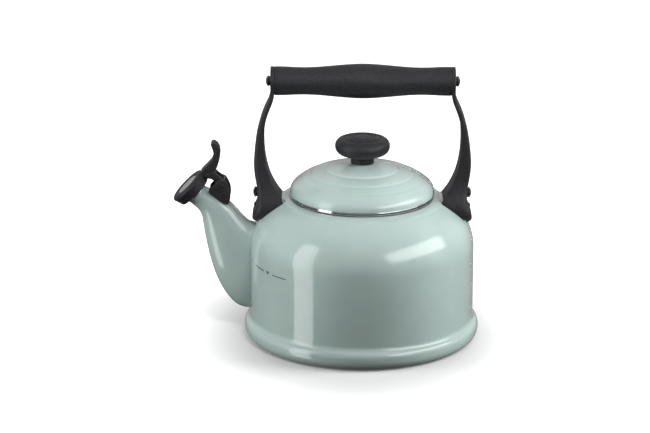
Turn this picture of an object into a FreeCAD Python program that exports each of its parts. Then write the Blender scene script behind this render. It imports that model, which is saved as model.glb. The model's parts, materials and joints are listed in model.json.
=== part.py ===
import FreeCAD, Part
import math
import os
import Sketcher

# Stovetop whistling kettle, in millimetres. The origin is the centre of the underside of the base,
# +Z is up, the spout points along -X and the grip runs along X above the lid.

# ----------------------------------------------------------------------------- driving dimensions
DIMENSIONS = [
    ("wall", 1.2, "thickness of the enamelled steel sheet"),
    ("base_radius", 100.0, "widest radius of the rolled base"),
    ("roll_height", 8.5, "height at which the base is widest"),
    ("seam_height", 20.5, "where the base pan meets the upright wall"),
    ("body_radius", 95.3, "radius of the upright wall"),
    ("shoulder_start", 79.0, "where the wall starts to turn inwards"),
    ("shoulder_bend", 44.0, "radius of the shoulder"),
    ("shoulder_x", 81.3, "radius where the shoulder bend ends"),
    ("shoulder_z", 111.2, "height where the shoulder bend ends"),
    ("seat_radius", 68.8, "outer radius of the lid seat"),
    ("seat_height", 122.5, "top of the lid seat"),
    ("mouth_radius", 58.7, "inner radius of the filling mouth"),
    ("neck_depth", 9.0, "depth of the turned-down neck of the mouth"),
    ("pour_width", 22.0, "width of the pouring hole behind the spout"),
    ("pour_bottom", 36.0, "bottom of the pouring hole"),
    ("pour_top", 90.0, "top of the pouring hole"),
    ("lid_radius", 61.3, "outer radius of the lid"),
    ("lid_edge", 125.9, "underside of the lid's edge"),
    ("lid_crown", 152.0, "height of the flat crown of the lid"),
    ("band_depth", 14.8, "depth of the steel band that locates the lid"),
    ("band_radius", 57.0, "outer radius of the band's locating skirt"),
    ("seat_gap", 0.3, "gap between the lid band and its seat"),
    ("knob_radius", 23.2, "widest radius of the knob"),
    ("knob_waist", 166.5, "height at which the knob is widest"),
    ("knob_top", 175.0, "top of the knob"),
    ("stem_radius", 9.85, "radius of the knob's stem"),
    ("insert_radius", 4.25, "outer radius of the knob's threaded insert"),
    ("insert_length", 9.5, "length of the knob's threaded insert"),
    ("knob_screw_length", 11.0, "length of the shank of the knob's screw"),
    ("knob_screw_head", 3.8, "radius of the head of the knob's screw"),
    ("knob_screw_height", 2.4, "height of the head of the knob's screw"),
    ("knob_washer_radius", 6.0, "outer radius of the washer under the lid"),
    ("knob_washer_thick", 1.0, "thickness of the washer under the lid"),
    ("thread_radius", 2.0, "radius of the screws' shanks"),
    ("thread_play", 0.05, "radial play around a shank"),
    ("grip_height", 223.1, "height of the grip's axis"),
    ("grip_half", 74.2, "half the length of the grip"),
    ("grip_end_radius", 12.2, "radius of the grip and of the arm's eye at its ends"),
    ("grip_waist_radius", 11.5, "radius of the grip at its waists"),
    ("grip_waist_place", 48.6, "distance of each waist from the middle"),
    ("grip_middle_radius", 14.6, "radius of the grip at its middle"),
    ("tie_radius", 4.5, "radius of the tie rod inside the grip"),
    ("eye_face", 77.6, "outer face of the arm's eye"),
    ("strap_width", 22.0, "width of the arm's strap"),
    ("foot_width", 38.0, "width of the arm's foot at its lowest edge"),
    ("foot_face", 88.6, "flat seat of the upper foot screw"),
    ("foot_nose", 94.0, "outermost point of the foot"),
    ("foot_heel", 66.7, "innermost point of the foot"),
    ("upper_screw", 126.0, "height of the upper foot screw"),
    ("lower_screw", 114.7, "height of the lower foot screw"),
    ("washer_radius", 4.1, "outer radius of the lock washers"),
    ("washer_thick", 1.6, "thickness of the lock washers"),
    ("head_radius", 4.9, "radius of the large screw heads"),
    ("head_height", 2.3, "height of the large screw heads"),
    ("grip_screw_length", 17.0, "length of the shank of the grip screws"),
    ("foot_screw_length", 12.0, "length of the shank of the upper and lower foot screws"),
    ("small_shank", 1.3, "radius of the shank of the lower foot screws"),
    ("small_head", 2.5, "radius of the head of the lower foot screws"),
    ("small_head_height", 1.3, "height of the head of the lower foot screws"),
    ("lug_plate", 1.6, "thickness of the handle lug"),
    ("lug_width", 26.0, "width of the handle lug"),
    ("tongue_inside", 79.0, "inner face of the lug's upright tongue"),
    ("tongue_thick", 2.5, "thickness of the lug's tongue"),
    ("tongue_width", 16.0, "width of the lug's tongue"),
    ("tongue_top", 131.0, "top of the lug's tongue"),
    ("spout_tilt", 45.0, "angle of the spout's mouth from upright, in degrees"),
    ("cap_x", -141.5, "centre of the back of the whistle cap, along X"),
    ("cap_z", 125.4, "centre of the back of the whistle cap, height"),
    ("cap_back_radius", 14.8, "radius of the back of the cap"),
    ("cap_front_radius", 17.1, "radius of the cap below its rounded rim"),
    ("cap_depth", 10.3, "depth of the cap"),
    ("plate_radius", 10.15, "radius of the two whistle plates"),
    ("plate_thick", 0.8, "thickness of the whistle plates"),
    ("whistle_hole", 1.6, "radius of the hole in each whistle plate"),
    ("rear_plate", 2.0, "place of the rear whistle plate, from the back of the cap"),
    ("front_plate", 7.0, "place of the front whistle plate, from the back of the cap"),
    ("chamber_radius", 8.0, "radius of the chamber between the two whistle plates"),
    ("seal_bore", 8.4, "inner radius of the soft seal"),
    ("seal_radius", 13.1, "outer radius of the soft seal"),
    ("lip_radius", 10.2, "outer radius of the steel ring on the spout's mouth"),
    ("lip_bore", 8.1, "inner radius of the steel ring on the spout's mouth"),
    ("lip_height", 1.5, "height of the steel ring on the spout's mouth"),
    ("hinge_x", -119.2, "axis of the whistle hinge, along X"),
    ("hinge_z", 133.1, "axis of the whistle hinge, height"),
    ("pin_radius", 1.5, "radius of the hinge pin"),
    ("pin_play", 0.1, "radial play of the knuckles on the pin"),
    ("knuckle_radius", 5.2, "radius of the hinge knuckles"),
    ("knuckle_reach", 7.2, "outer face of the knuckles, along Y"),
    ("knuckle_gap", 3.9, "inner face of the knuckles, along Y"),
    ("cheek_inside", 7.5, "inner face of the bracket's cheeks, along Y"),
    ("cheek_thick", 2.0, "thickness of the bracket's cheeks"),
    ("lever_width", 12.4, "width of the thumb lever"),
    ("rivet_radius", 1.6, "radius of the bracket's rivet"),
    ("rivet_length", 5.0, "length of the shank of the bracket's rivet"),
    ("rivet_head", 2.6, "radius of the head of the bracket's rivet"),
    ("rivet_head_height", 1.2, "height of the head of the bracket's rivet"),
    ("rivet_x", -114.0, "underside of the rivet's head, along X"),
    ("rivet_z", 120.3, "underside of the rivet's head, height"),
    ("rivet_tilt", 35.5, "angle of the rivet from upright, in degrees"),
    ("wire_radius", 0.4, "radius of the spring's wire"),
    ("coil_radius", 2.6, "mean radius of the spring's coil"),
]

SHEET = "Sizes"
document = FreeCAD.newDocument("kettle")
sheet = document.addObject("Spreadsheet::Sheet", SHEET)


class Dim:
    """A length with its value and the sheet expression that gives it."""

    def __init__(self, value, text):
        self.value = float(value)
        self.text = text

    def join(self, other, sign, value):
        return Dim(value, "(" + self.text + " " + sign + " " + as_dim(other).text + ")")

    def __add__(self, other):
        return self.join(other, "+", self.value + as_dim(other).value)

    def __sub__(self, other):
        return self.join(other, "-", self.value - as_dim(other).value)

    def __mul__(self, other):
        return self.join(other, "*", self.value * as_dim(other).value)

    def __truediv__(self, other):
        return self.join(other, "/", self.value / as_dim(other).value)

    def __neg__(self):
        return Dim(-self.value, "(0 - " + self.text + ")")


def as_dim(number):
    """A Dim as it is, or a plain number as a Dim that reads nothing from the sheet."""
    if isinstance(number, Dim):
        return number
    return Dim(number, repr(float(number)))


class Sizes:
    """The sheet's cells by name."""


def fill_sheet():
    """Writes every driving dimension to the sheet and returns them by name."""
    sizes = Sizes()
    for row, (name, value, note) in enumerate(DIMENSIONS, start=1):
        sheet.set("A%d" % row, name)
        sheet.set("B%d" % row, str(value))
        sheet.set("C%d" % row, note)
        sheet.setAlias("B%d" % row, name)
    document.recompute()
    for name, value, note in DIMENSIONS:
        setattr(sizes, name, Dim(getattr(sheet, name), SHEET + "." + name))
    return sizes


size = fill_sheet()


# ------------------------------------------------------------------------------------- drawing aids
def bind(item, name, number):
    """Sets one property of a document object from the sheet."""
    item.setExpression(name, as_dim(number).text)


def arc_middle(start, end, radius):
    """The middle of the short arc from start to end; a positive radius turns left."""
    chord = end - start
    half = chord.Length / 2
    rise = abs(radius) - math.sqrt(max(radius * radius - half * half, 0.0))
    left = FreeCAD.Vector(-chord.y, chord.x, 0).normalize()
    side = -1 if radius > 0 else 1
    return (start + end) / 2 + left * (side * rise)


def draw_outline(sketch, corners):
    """Draws a closed outline with every corner and bend tied to the sheet.

    A corner is (x, y), or (x, y, radius) where the side that leads to it is an arc: a positive
    radius turns left and a negative one turns right.
    """
    points = []
    for corner in corners:
        points.append(FreeCAD.Vector(as_dim(corner[0]).value, as_dim(corner[1]).value, 0))
    starts = []
    ends = []
    for index, corner in enumerate(corners):
        start = points[index - 1]
        end = points[index]
        if len(corner) == 2:
            sketch.addGeometry(Part.LineSegment(start, end), False)
            starts.append(1)
            ends.append(2)
            continue
        radius = as_dim(corner[2])
        middle = arc_middle(start, end, radius.value)
        if radius.value > 0:
            sketch.addGeometry(Part.Arc(start, middle, end), False)
            starts.append(1)
            ends.append(2)
        else:
            sketch.addGeometry(Part.Arc(end, middle, start), False)
            starts.append(2)
            ends.append(1)
    for index, corner in enumerate(corners):
        after = (index + 1) % len(corners)
        sketch.addConstraint(Sketcher.Constraint("Coincident", index, ends[index], after, starts[after]))
        pin_corner(sketch, index, ends[index], corner)
    for index, corner in enumerate(corners):
        if len(corner) == 3:
            radius = as_dim(corner[2])
            sketch.addConstraint(Sketcher.Constraint("Radius", index, abs(radius.value)))
            bind(sketch, "Constraints[%d]" % (sketch.ConstraintCount - 1), absolute(radius))


def absolute(number):
    """The length without its sign."""
    if number.value < 0:
        return -number
    return number


def pin_corner(sketch, edge, end, corner):
    """Ties the end of one edge of a sketch to its place from the origin."""
    for kind, axis, place in (("DistanceX", -2, corner[0]), ("DistanceY", -1, corner[1])):
        number = as_dim(place)
        if number.value == 0:
            sketch.addConstraint(Sketcher.Constraint("PointOnObject", edge, end, axis))
            continue
        sketch.addConstraint(Sketcher.Constraint(kind, -1, 1, edge, end, number.value))
        bind(sketch, "Constraints[%d]" % (sketch.ConstraintCount - 1), number)


def sketch_on(body, role, corners):
    """A closed outline on one of the body's own origin planes."""
    sketch = body.newObject("Sketcher::SketchObject", body.Name + "_outline")
    plane = [item for item in body.Origin.OriginFeatures if item.Role == role][0]
    sketch.AttachmentSupport = [(plane, "")]
    sketch.MapMode = "FlatFace"
    document.recompute()
    draw_outline(sketch, corners)
    return sketch


def turned(name, corners, place=None):
    """A piece turned about its own Z axis from an outline of (radius, height) corners."""
    body = document.addObject("PartDesign::Body", name)
    sketch = sketch_on(body, "XZ_Plane", corners)
    turn = body.newObject("PartDesign::Revolution", name + "_turn")
    turn.Profile = sketch
    turn.ReferenceAxis = (sketch, ["V_Axis"])
    turn.Angle = 360
    body.Tip = turn
    if place is not None:
        body.Placement = place
    return body


def prism(name, role, corners, width, place=None):
    """A straight-sided piece, as thick as width, on both sides of one of the origin planes."""
    body = document.addObject("PartDesign::Body", name)
    sketch = sketch_on(body, role, corners)
    pad = body.newObject("PartDesign::Pad", name + "_pad")
    pad.Profile = sketch
    pad.SideType = "Symmetric"
    bind(pad, "Length", width)
    body.Tip = pad
    if place is not None:
        body.Placement = place
    return body


def rod(name, radius, length, place):
    """A round bar that starts at its place and runs along its own Z axis."""
    bar = document.addObject("Part::Cylinder", name)
    bind(bar, "Radius", radius)
    bind(bar, "Height", length)
    bar.Placement = place
    return bar


def joined(name, pieces):
    """One piece made of several that grow together."""
    fuse = document.addObject("Part::MultiFuse", name)
    fuse.Shapes = pieces
    fuse.Refine = True
    return fuse


def shared(name, pieces):
    """The space that all the pieces have in common."""
    common = document.addObject("Part::MultiCommon", name)
    common.Shapes = pieces
    return common


def cut(name, base, tools):
    """A piece with every tool taken out of it."""
    result = base
    for count, tool in enumerate(tools, start=1):
        last = count == len(tools)
        step = document.addObject("Part::Cut", name if last else "%s_cut_%d" % (name, count))
        step.Base = result
        step.Tool = tool
        result = step
    return result


def mirrored(name, source):
    """The same piece on the other side of the YZ plane."""
    mirror = document.addObject("Part::Mirroring", name)
    mirror.Source = source
    mirror.Normal = FreeCAD.Vector(1, 0, 0)
    return mirror


def at(x, y, z, axis=None, angle=0.0):
    """A placement at a point, turned about an axis by degrees."""
    turn = FreeCAD.Rotation()
    if axis is not None:
        turn = FreeCAD.Rotation(FreeCAD.Vector(*axis), angle)
    return FreeCAD.Placement(FreeCAD.Vector(x, y, z), turn)


ALONG_X = ((0, 1, 0), 90)
ALONG_Y = ((1, 0, 0), -90)
ACROSS_X = ((0, 1, 0), -90)

# How far the solids that only cut reach past what they cut.
THROUGH = 40


# ------------------------------------------------------------------------------------ kettle vessel
SHOULDER_TOP_BEND = 90.0
SEAT_STEP_Z = 120.2


def make_envelope():
    """The outside of the vessel as one full solid, for trimming what stands on it."""
    return turned("envelope", [
        (0, size.seam_height),
        (size.body_radius, size.seam_height),
        (size.body_radius, size.shoulder_start),
        (size.shoulder_x, size.shoulder_z, size.shoulder_bend),
        (size.seat_radius, SEAT_STEP_Z, SHOULDER_TOP_BEND),
        (size.seat_radius - 0.6, SEAT_STEP_Z + 0.8),
        (size.mouth_radius + 2.5, size.seat_height),
        (0, size.seat_height),
    ])


def make_base_pan():
    """The bottom with its rolled edge, one drawn sheet."""
    rim = size.base_radius
    inner = size.wall
    return turned("base_pan", [
        (0, 0),
        (rim - 7, 0),
        (rim, size.roll_height, 8.66),
        (rim, 10),
        (rim - 1.7, 15.2, 8.1),
        (size.body_radius, size.seam_height, -6.2),
        (size.body_radius - inner, size.seam_height),
        (rim - 2.32, 14.17, 7.4),
        (rim - inner, 10, -6.9),
        (rim - inner, size.roll_height),
        (rim - 6.8, inner, -7.5),
        (0, inner),
    ])


def make_body_shell():
    """The upright wall, the shoulder and the turned-down mouth, with the pouring hole."""
    wall = size.wall
    lip_bend = 2.5
    neck_end = size.seat_height - size.neck_depth
    shell = turned("body_wall", [
        (size.body_radius - wall, size.seam_height),
        (size.body_radius, size.seam_height),
        (size.body_radius, size.shoulder_start),
        (size.shoulder_x, size.shoulder_z, size.shoulder_bend),
        (size.seat_radius, SEAT_STEP_Z, SHOULDER_TOP_BEND),
        (size.seat_radius - 0.6, SEAT_STEP_Z + 0.8),
        (size.mouth_radius + lip_bend, size.seat_height),
        (size.mouth_radius, size.seat_height - lip_bend, lip_bend),
        (size.mouth_radius, neck_end),
        (size.mouth_radius + wall, neck_end),
        (size.mouth_radius + wall, size.seat_height - lip_bend - 0.1),
        (size.mouth_radius + lip_bend + 0.1, size.seat_height - wall, -1.3),
        (size.seat_radius - 1.5, SEAT_STEP_Z - 0.1),
        (size.seat_radius - 0.62, SEAT_STEP_Z - 1.03),
        (size.shoulder_x - 0.82, size.shoulder_z - 0.88, -SHOULDER_TOP_BEND + 1.2),
        (size.body_radius - wall, size.shoulder_start, wall - size.shoulder_bend),
    ])
    half = size.pour_width / 2
    opening = prism("pouring_hole", "YZ_Plane", [
        (half, size.pour_bottom + half, half),
        (half, size.pour_top - half),
        (0, size.pour_top, half),
        (-half, size.pour_top - half, half),
        (-half, size.pour_bottom + half),
        (0, size.pour_bottom, half),
    ], THROUGH, at(-size.body_radius.value, 0, 0))
    return cut("body_shell", shell, [opening])


# --------------------------------------------------------------------------------------------- spout
# Each section of the spout runs from its lower to its upper point (x, z) with a half width along Y.
SPOUT_SECTIONS = [
    ((-146.85, 117.5), (-133.7, 130.65), 9.25),
    ((-138.2, 109.6), (-121.5, 124.4), 10.5),
    ((-134.8, 99.0), (-111.0, 116.2), 11.8),
    ((-132.6, 84.0), (-102.5, 106.8), 13.0),
    ((-127.6, 61.5), (-97.5, 102.0), 14.0),
    ((-118.5, 39.5), (-94.0, 99.5), 15.0),
    ((-104.5, 24.8), (-90.0, 98.5), 15.8),
    ((-88.0, 21.6), (-84.0, 98.0), 16.0),
]


def spout_solid(name, shrink):
    """The spout as a solid through its sections, each made smaller by shrink."""
    sections = []
    for count, (low, high, half_width) in enumerate(SPOUT_SECTIONS, start=1):
        span_x = high[0] - low[0]
        span_z = high[1] - low[1]
        section = document.addObject("Part::Ellipse", "%s_section_%d" % (name, count))
        bind(section, "MajorRadius", as_dim(math.hypot(span_x, span_z) / 2) - shrink)
        bind(section, "MinorRadius", as_dim(half_width) - shrink)
        slope = math.degrees(math.atan2(span_z, span_x))
        section.Placement = at((low[0] + high[0]) / 2, 0, (low[1] + high[1]) / 2, (0, 1, 0), -slope)
        sections.append(section)
    loft = document.addObject("Part::Loft", name)
    loft.Sections = sections
    loft.Solid = True
    loft.Ruled = False
    return loft


# ------------------------------------------------------------------------------------ lid and knob
def make_lid_shell():
    """The enamelled lid: a flat crown, three stepped rings and a rolled edge."""
    edge = size.lid_radius
    crown = size.lid_crown
    wall = size.wall
    hole = size.thread_radius + 0.6
    return turned("lid_shell", [
        (hole, crown - wall),
        (9.9, crown - wall),
        (28.6, crown - 5.3),
        (30.6, crown - 6.5),
        (42.0, crown - 9.4),
        (43.9, crown - 10.7),
        (50.3, crown - 13.4),
        (52.2, crown - 14.8),
        (55.2, crown - 17.2),
        (edge - wall, crown - 24.6, -9.2),
        (edge - wall, size.lid_edge),
        (edge, size.lid_edge),
        (edge, crown - 24.5),
        (56.0, crown - 16.2, 10.4),
        (53.0, crown - 13.8),
        (51.0, crown - 12.3),
        (44.5, crown - 9.5),
        (42.5, crown - 8.2),
        (31.0, crown - 5.3),
        (29.0, crown - 4.1),
        (10.0, crown),
        (hole, crown),
    ])


def make_lid_band():
    """The steel band under the lid's edge, with the skirt that drops into the mouth."""
    skirt = size.band_radius
    low = size.lid_edge - size.band_depth
    bead = size.seat_height + size.seat_gap
    bead_radius = size.lid_radius - 0.4
    return turned("lid_band", [
        (skirt - 0.8, low),
        (skirt, low),
        (skirt, bead),
        (bead_radius - 0.7, bead),
        (bead_radius, bead + 0.7, 0.7),
        (bead_radius, size.lid_edge),
        (skirt - 0.8, size.lid_edge),
    ])


def make_knob():
    """The mushroom knob with a blind bore for its threaded insert."""
    foot = size.lid_crown
    top = size.knob_top
    bore = size.insert_radius
    crown_width = 18.4
    crown_height = 1.7
    return turned("knob", [
        (bore, foot),
        (size.stem_radius, foot),
        (size.stem_radius, size.knob_waist - 7.1),
        (17.0, size.knob_waist - 6.9),
        (size.knob_radius, size.knob_waist, 7.0),
        (crown_width, top - crown_height, 6.6),
        (0, top, dome(crown_width, crown_height)),
        (0, foot + size.insert_length + 1),
        (bore, foot + size.insert_length + 1),
    ])


def make_knob_insert():
    """The threaded insert moulded into the knob's stem."""
    bore = size.thread_radius + size.thread_play
    return turned("knob_insert", [
        (bore, size.lid_crown + 0.4),
        (size.insert_radius, size.lid_crown + 0.4),
        (size.insert_radius, size.lid_crown + size.insert_length),
        (bore, size.lid_crown + size.insert_length),
    ])


def make_knob_washer():
    """The washer between the knob's screw and the underside of the lid."""
    bore = size.thread_radius + size.thread_play * 2
    top = size.lid_crown - size.wall
    return turned("knob_washer", [
        (bore, top - size.knob_washer_thick),
        (size.knob_washer_radius, top - size.knob_washer_thick),
        (size.knob_washer_radius, top),
        (bore, top),
    ])


# ------------------------------------------------------------------------------------------- screws
def dome(half_width, height):
    """The radius of a dome that meets its own axis squarely."""
    return (as_dim(half_width) * half_width + as_dim(height) * height) / (as_dim(height) * 2)


def screw(name, shank, length, head, height, place):
    """A dome-headed screw; its place is the middle of the underside of the head, +Z through the head."""
    return turned(name, [
        (0, -as_dim(length)),
        (shank, -as_dim(length)),
        (shank, 0),
        (head, 0),
        (0, height, dome(head, height)),
    ], place)


def washer(name, place):
    """A thick lock washer that lies on its place."""
    bore = size.thread_radius + size.thread_play * 2
    return turned(name, [
        (bore, 0),
        (size.washer_radius, 0),
        (size.washer_radius, size.washer_thick),
        (bore, size.washer_thick),
    ], place)


# -------------------------------------------------------------------------------------------- handle
def make_lug(envelope):
    """The plate welded on the shoulder with an upright tongue, on the +X side, before its holes."""
    outside = turned("lug_outside", [
        (0, size.seam_height),
        (size.body_radius + size.lug_plate, size.seam_height),
        (size.body_radius + size.lug_plate, size.shoulder_start),
        (size.shoulder_x + 1.09, size.shoulder_z + 1.17, size.shoulder_bend + size.lug_plate),
        (size.seat_radius + 0.82, SEAT_STEP_Z + 1.37, size.lug_plate + SHOULDER_TOP_BEND),
        (size.seat_radius - 0.3, SEAT_STEP_Z + 2.4),
        (size.mouth_radius + 2.5, size.seat_height + size.lug_plate),
        (0, size.seat_height + size.lug_plate),
    ])
    half = size.lug_width / 2
    patch = prism("lug_patch", "XY_Plane", [
        (size.foot_heel - 1.5, -half),
        (size.foot_face - 1, -half),
        (size.foot_face - 1, half),
        (size.foot_heel - 1.5, half),
    ], 400)
    tongue = prism("lug_tongue", "XZ_Plane", [
        (size.tongue_inside, size.shoulder_z - 4),
        (size.tongue_inside + size.tongue_thick, size.shoulder_z - 4),
        (size.tongue_inside + size.tongue_thick, size.tongue_top),
        (size.tongue_inside, size.tongue_top),
    ], size.tongue_width)
    plate = shared("lug_plate_part", [outside, patch])
    whole = joined("lug_blank", [plate, tongue])
    return cut("lug_on_shoulder", whole, [envelope])


def make_arm_blank():
    """The side view and the front view of the arm, crossed, on the +X side."""
    inner = size.grip_half
    outer = size.eye_face
    eye_low = size.grip_height - size.grip_end_radius
    eye_top = size.grip_height + size.grip_end_radius
    seat = size.foot_face
    nose = size.foot_nose
    side = prism("arm_side", "XZ_Plane", [
        (size.foot_heel, size.lower_screw - 8),
        (nose - 12, size.lower_screw - 22),
        (nose - 3, size.lower_screw - 17),
        (nose, size.lower_screw - 10.5, 7.0),
        (nose, size.lower_screw - 7.5),
        (seat, size.lower_screw + 5.5, -30.0),
        (seat, size.upper_screw + 5),
        (seat + 3, size.upper_screw + 28, 80.0),
        (outer + 3.6, eye_low - 8, 124.0),
        (outer, eye_low + 2, -26.0),
        (outer, eye_top),
        (inner, eye_top),
        (inner, eye_low + 2),
        (inner + 3.1, eye_low - 8, 26.0),
        (inner + 8.6, eye_low - 36, -73.5),
        (inner + 5.5, eye_low - 64, -129.0),
        (size.foot_heel, size.lower_screw + 6, -62.0),
    ], 60)
    half = size.strap_width / 2
    foot = size.foot_width / 2
    flare_top = size.upper_screw + 19
    foot_low = size.lower_screw - 15
    front = prism("arm_front", "YZ_Plane", [
        (half, flare_top, -130.0),
        (half, size.grip_height - 5.28),
        (0, eye_top, size.grip_end_radius),
        (-half, size.grip_height - 5.28, size.grip_end_radius),
        (-half, flare_top),
        (-foot, foot_low, -130.0),
        (-foot, foot_low - 14),
        (foot, foot_low - 14),
        (foot, foot_low),
    ], 400)
    return shared("arm_blank", [side, front])


def make_handle(envelope, spout):
    """Both arms with their lugs, the grip with its tie rod, and the screws and washers."""
    pieces = {}
    bore = size.thread_radius + 0.2
    lug_bore = size.thread_radius + size.thread_play
    head_seat = size.foot_face + 2.0
    inside = size.foot_heel.value
    upper = size.upper_screw.value
    lower = size.lower_screw.value
    lug = make_lug(envelope)
    tongue_hole = rod("tongue_hole", lug_bore, THROUGH, at(inside, 0, upper, *ALONG_X))
    small_hole = rod("small_hole", size.small_shank + size.thread_play, THROUGH,
                     at(inside, 0, lower, *ALONG_X))
    rear_lug = cut("rear_handle_lug", lug, [tongue_hole, small_hole])
    eye_hole = rod("eye_hole", bore, THROUGH, at(inside, 0, size.grip_height.value, *ALONG_X))
    upper_hole = rod("upper_hole", bore, THROUGH, at(inside, 0, upper, *ALONG_X))
    lower_hole = rod("lower_hole", size.small_shank + size.thread_play * 2, THROUGH,
                     at(inside, 0, lower, *ALONG_X))
    head_room = rod("head_room", size.small_head + 0.2, THROUGH,
                    at(head_seat.value, 0, lower, *ALONG_X))
    blank = make_arm_blank()
    rear_arm = cut("rear_arm", blank, [envelope, lug, eye_hole, upper_hole, lower_hole, head_room])
    pieces["rear_handle_lug"] = rear_lug
    pieces["rear_arm"] = rear_arm
    pieces["front_handle_lug"] = mirrored("front_handle_lug", rear_lug)
    opposite_arm = mirrored("opposite_arm", rear_arm)
    pieces["front_arm"] = cut("front_arm", opposite_arm, [spout])

    along_x = at(0, 0, size.grip_height.value, *ALONG_X)
    waist = size.grip_waist_place
    end = size.grip_half
    pieces["grip"] = turned("grip", [
        (size.tie_radius, -end),
        (size.grip_end_radius - 1.2, -end),
        (size.grip_end_radius, -end + 1.2, 1.2),
        (size.grip_waist_radius, -waist, -400.0),
        (size.grip_waist_radius, waist, 382.5),
        (size.grip_end_radius, end - 1.2, -400.0),
        (size.grip_end_radius - 1.2, end, 1.2),
        (size.tie_radius, end),
    ], along_x)
    pieces["grip_tie_rod"] = turned("grip_tie_rod", [
        (lug_bore, -end),
        (size.tie_radius, -end),
        (size.tie_radius, end),
        (lug_bore, end),
    ], along_x)

    for side, direction, turn in (("rear", 1, ALONG_X), ("front", -1, ACROSS_X)):
        eye = direction * size.eye_face.value
        foot = direction * size.foot_face.value
        over_washer = direction * size.washer_thick.value
        grip_z = size.grip_height.value
        seat_x = direction * head_seat.value
        pieces[side + "_grip_washer"] = washer(side + "_grip_washer", at(eye, 0, grip_z, *turn))
        pieces[side + "_grip_screw"] = screw(
            side + "_grip_screw", size.thread_radius, size.grip_screw_length, size.head_radius,
            size.head_height, at(eye + over_washer, 0, grip_z, *turn))
        pieces[side + "_foot_washer"] = washer(side + "_foot_washer", at(foot, 0, upper, *turn))
        pieces[side + "_upper_screw"] = screw(
            side + "_upper_screw", size.thread_radius, size.foot_screw_length, size.head_radius,
            size.head_height, at(foot + over_washer, 0, upper, *turn))
        pieces[side + "_lower_screw"] = screw(
            side + "_lower_screw", size.small_shank, size.foot_screw_length, size.small_head,
            size.small_head_height, at(seat_x, 0, lower, *turn))
    return pieces


# ------------------------------------------------------------------------------------- whistle flap
def mouth_place(offset=0.0):
    """The placement on the spout's mouth axis, offset outwards from the back of the cap."""
    tilt = math.radians(size.spout_tilt.value)
    x = size.cap_x.value - math.sin(tilt) * offset
    z = size.cap_z.value + math.cos(tilt) * offset
    return at(x, 0, z, (0, 1, 0), -size.spout_tilt.value)


def make_bracket(spout):
    """The U-shaped bracket on the spout: two cheeks joined by a floor that follows the spout."""
    x = size.hinge_x
    z = size.hinge_z
    outer = size.cheek_inside + size.cheek_thick
    block = prism("bracket_block", "XZ_Plane", [
        (x - 10.2, z - 4.7),
        (x - 13.0, z - 9.0),
        (x + 4.0, z - 22.0),
        (x + 6.5, z - 16.0),
        (x + 7.8, z - 12.5, 7.0),
        (x + 7.4, z - 6.0),
        (x + 4.6, z + 2.8),
        (x - 3.6, z + 3.9, 4.6),
    ], outer * 2)
    room = prism("bracket_room", "XZ_Plane", [
        (x - 14.0, z + 0.9),
        (x + 14.0, z - 19.1),
        (x + 14.0, z + 12.0),
        (x - 14.0, z + 12.0),
    ], size.cheek_inside * 2)
    pin_hole = rod("bracket_pin_hole", size.pin_radius, THROUGH,
                   at(x.value, -THROUGH / 2, z.value, *ALONG_Y))
    return cut("hinge_bracket", block, [room, pin_hole, rivet_bore("bracket_rivet_hole"), spout])


def rivet_place(offset=0.0):
    """The placement of the bracket's rivet, offset along its own axis out of the spout."""
    lean = math.radians(size.rivet_tilt.value)
    x = size.rivet_x.value + math.sin(lean) * offset
    z = size.rivet_z.value + math.cos(lean) * offset
    return at(x, 0, z, (0, 1, 0), size.rivet_tilt.value)


def rivet_bore(name):
    """The bore of the rivet through the bracket's floor and the upper wall of the spout."""
    depth = 12.0
    return rod(name, size.rivet_radius, depth * 2, rivet_place(-depth))


def make_whistle_cap():
    """The cap with its link arm, two hinge knuckles and the curled thumb lever, one moulding."""
    x = size.hinge_x
    z = size.hinge_z
    bore = size.plate_radius + 0.05
    seal_room = size.seal_radius + 0.1
    rear = size.rear_plate
    front = size.front_plate
    ring = turned("cap_ring", [
        (bore, rear),
        (seal_room, rear),
        (seal_room, 0),
        (size.cap_back_radius, 0),
        (size.cap_front_radius, size.cap_depth - 3.3),
        (14.9, size.cap_depth, 2.7),
        (bore, size.cap_depth - 2.1, 8.0),
        (bore, front),
        (size.chamber_radius, front),
        (size.chamber_radius, rear + size.plate_thick),
        (bore, rear + size.plate_thick),
    ], mouth_place())
    arm = prism("cap_link_arm", "XZ_Plane", [
        (x - 3.0, z + 3.0),
        (x - 8.8, z + 6.1),
        (x - 14.3, z + 6.6),
        (x - 14.6, z + 10.4),
        (x - 6.3, z + 12.9),
        (x - 1.7, z + 8.4),
        (x + 1.7, z + 4.9),
    ], size.knuckle_reach * 2)
    knuckle = rod("cap_knuckle", size.knuckle_radius, size.knuckle_reach * 2,
                  at(x.value, -size.knuckle_reach.value, z.value, *ALONG_Y))
    lever = prism("cap_lever", "XZ_Plane", [
        (x - 14.6, z + 8.0),
        (x - 6.3, z + 9.5),
        (x - 4.2, z + 13.4),
        (x - 0.8, z + 26.0, 40.0),
        (x - 2.6, z + 33.6, 12.0),
        (x - 6.3, z + 36.7, 5.0),
        (x - 8.8, z + 35.4, 2.5),
        (x - 6.7, z + 27.0, 18.0),
        (x - 11.1, z + 18.4, -16.0),
        (x - 17.6, z + 13.0),
    ], size.lever_width)
    blank = joined("cap_blank", [ring, arm, knuckle, lever])
    spring_room = rod("cap_spring_room", 11.0, size.knuckle_gap * 2,
                      at(x.value, -size.knuckle_gap.value, z.value, *ALONG_Y))
    pin_bore = rod("cap_pin_bore", size.pin_radius + size.pin_play, THROUGH,
                   at(x.value, -THROUGH / 2, z.value, *ALONG_Y))
    return cut("whistle_cap", blank, [spring_room, pin_bore])


def whistle_plate(name, offset):
    """A thin steel disc with the whistle's hole in the middle."""
    return turned(name, [
        (size.whistle_hole, 0),
        (size.plate_radius, 0),
        (size.plate_radius, size.plate_thick),
        (size.whistle_hole, size.plate_thick),
    ], mouth_place(offset))


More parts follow.
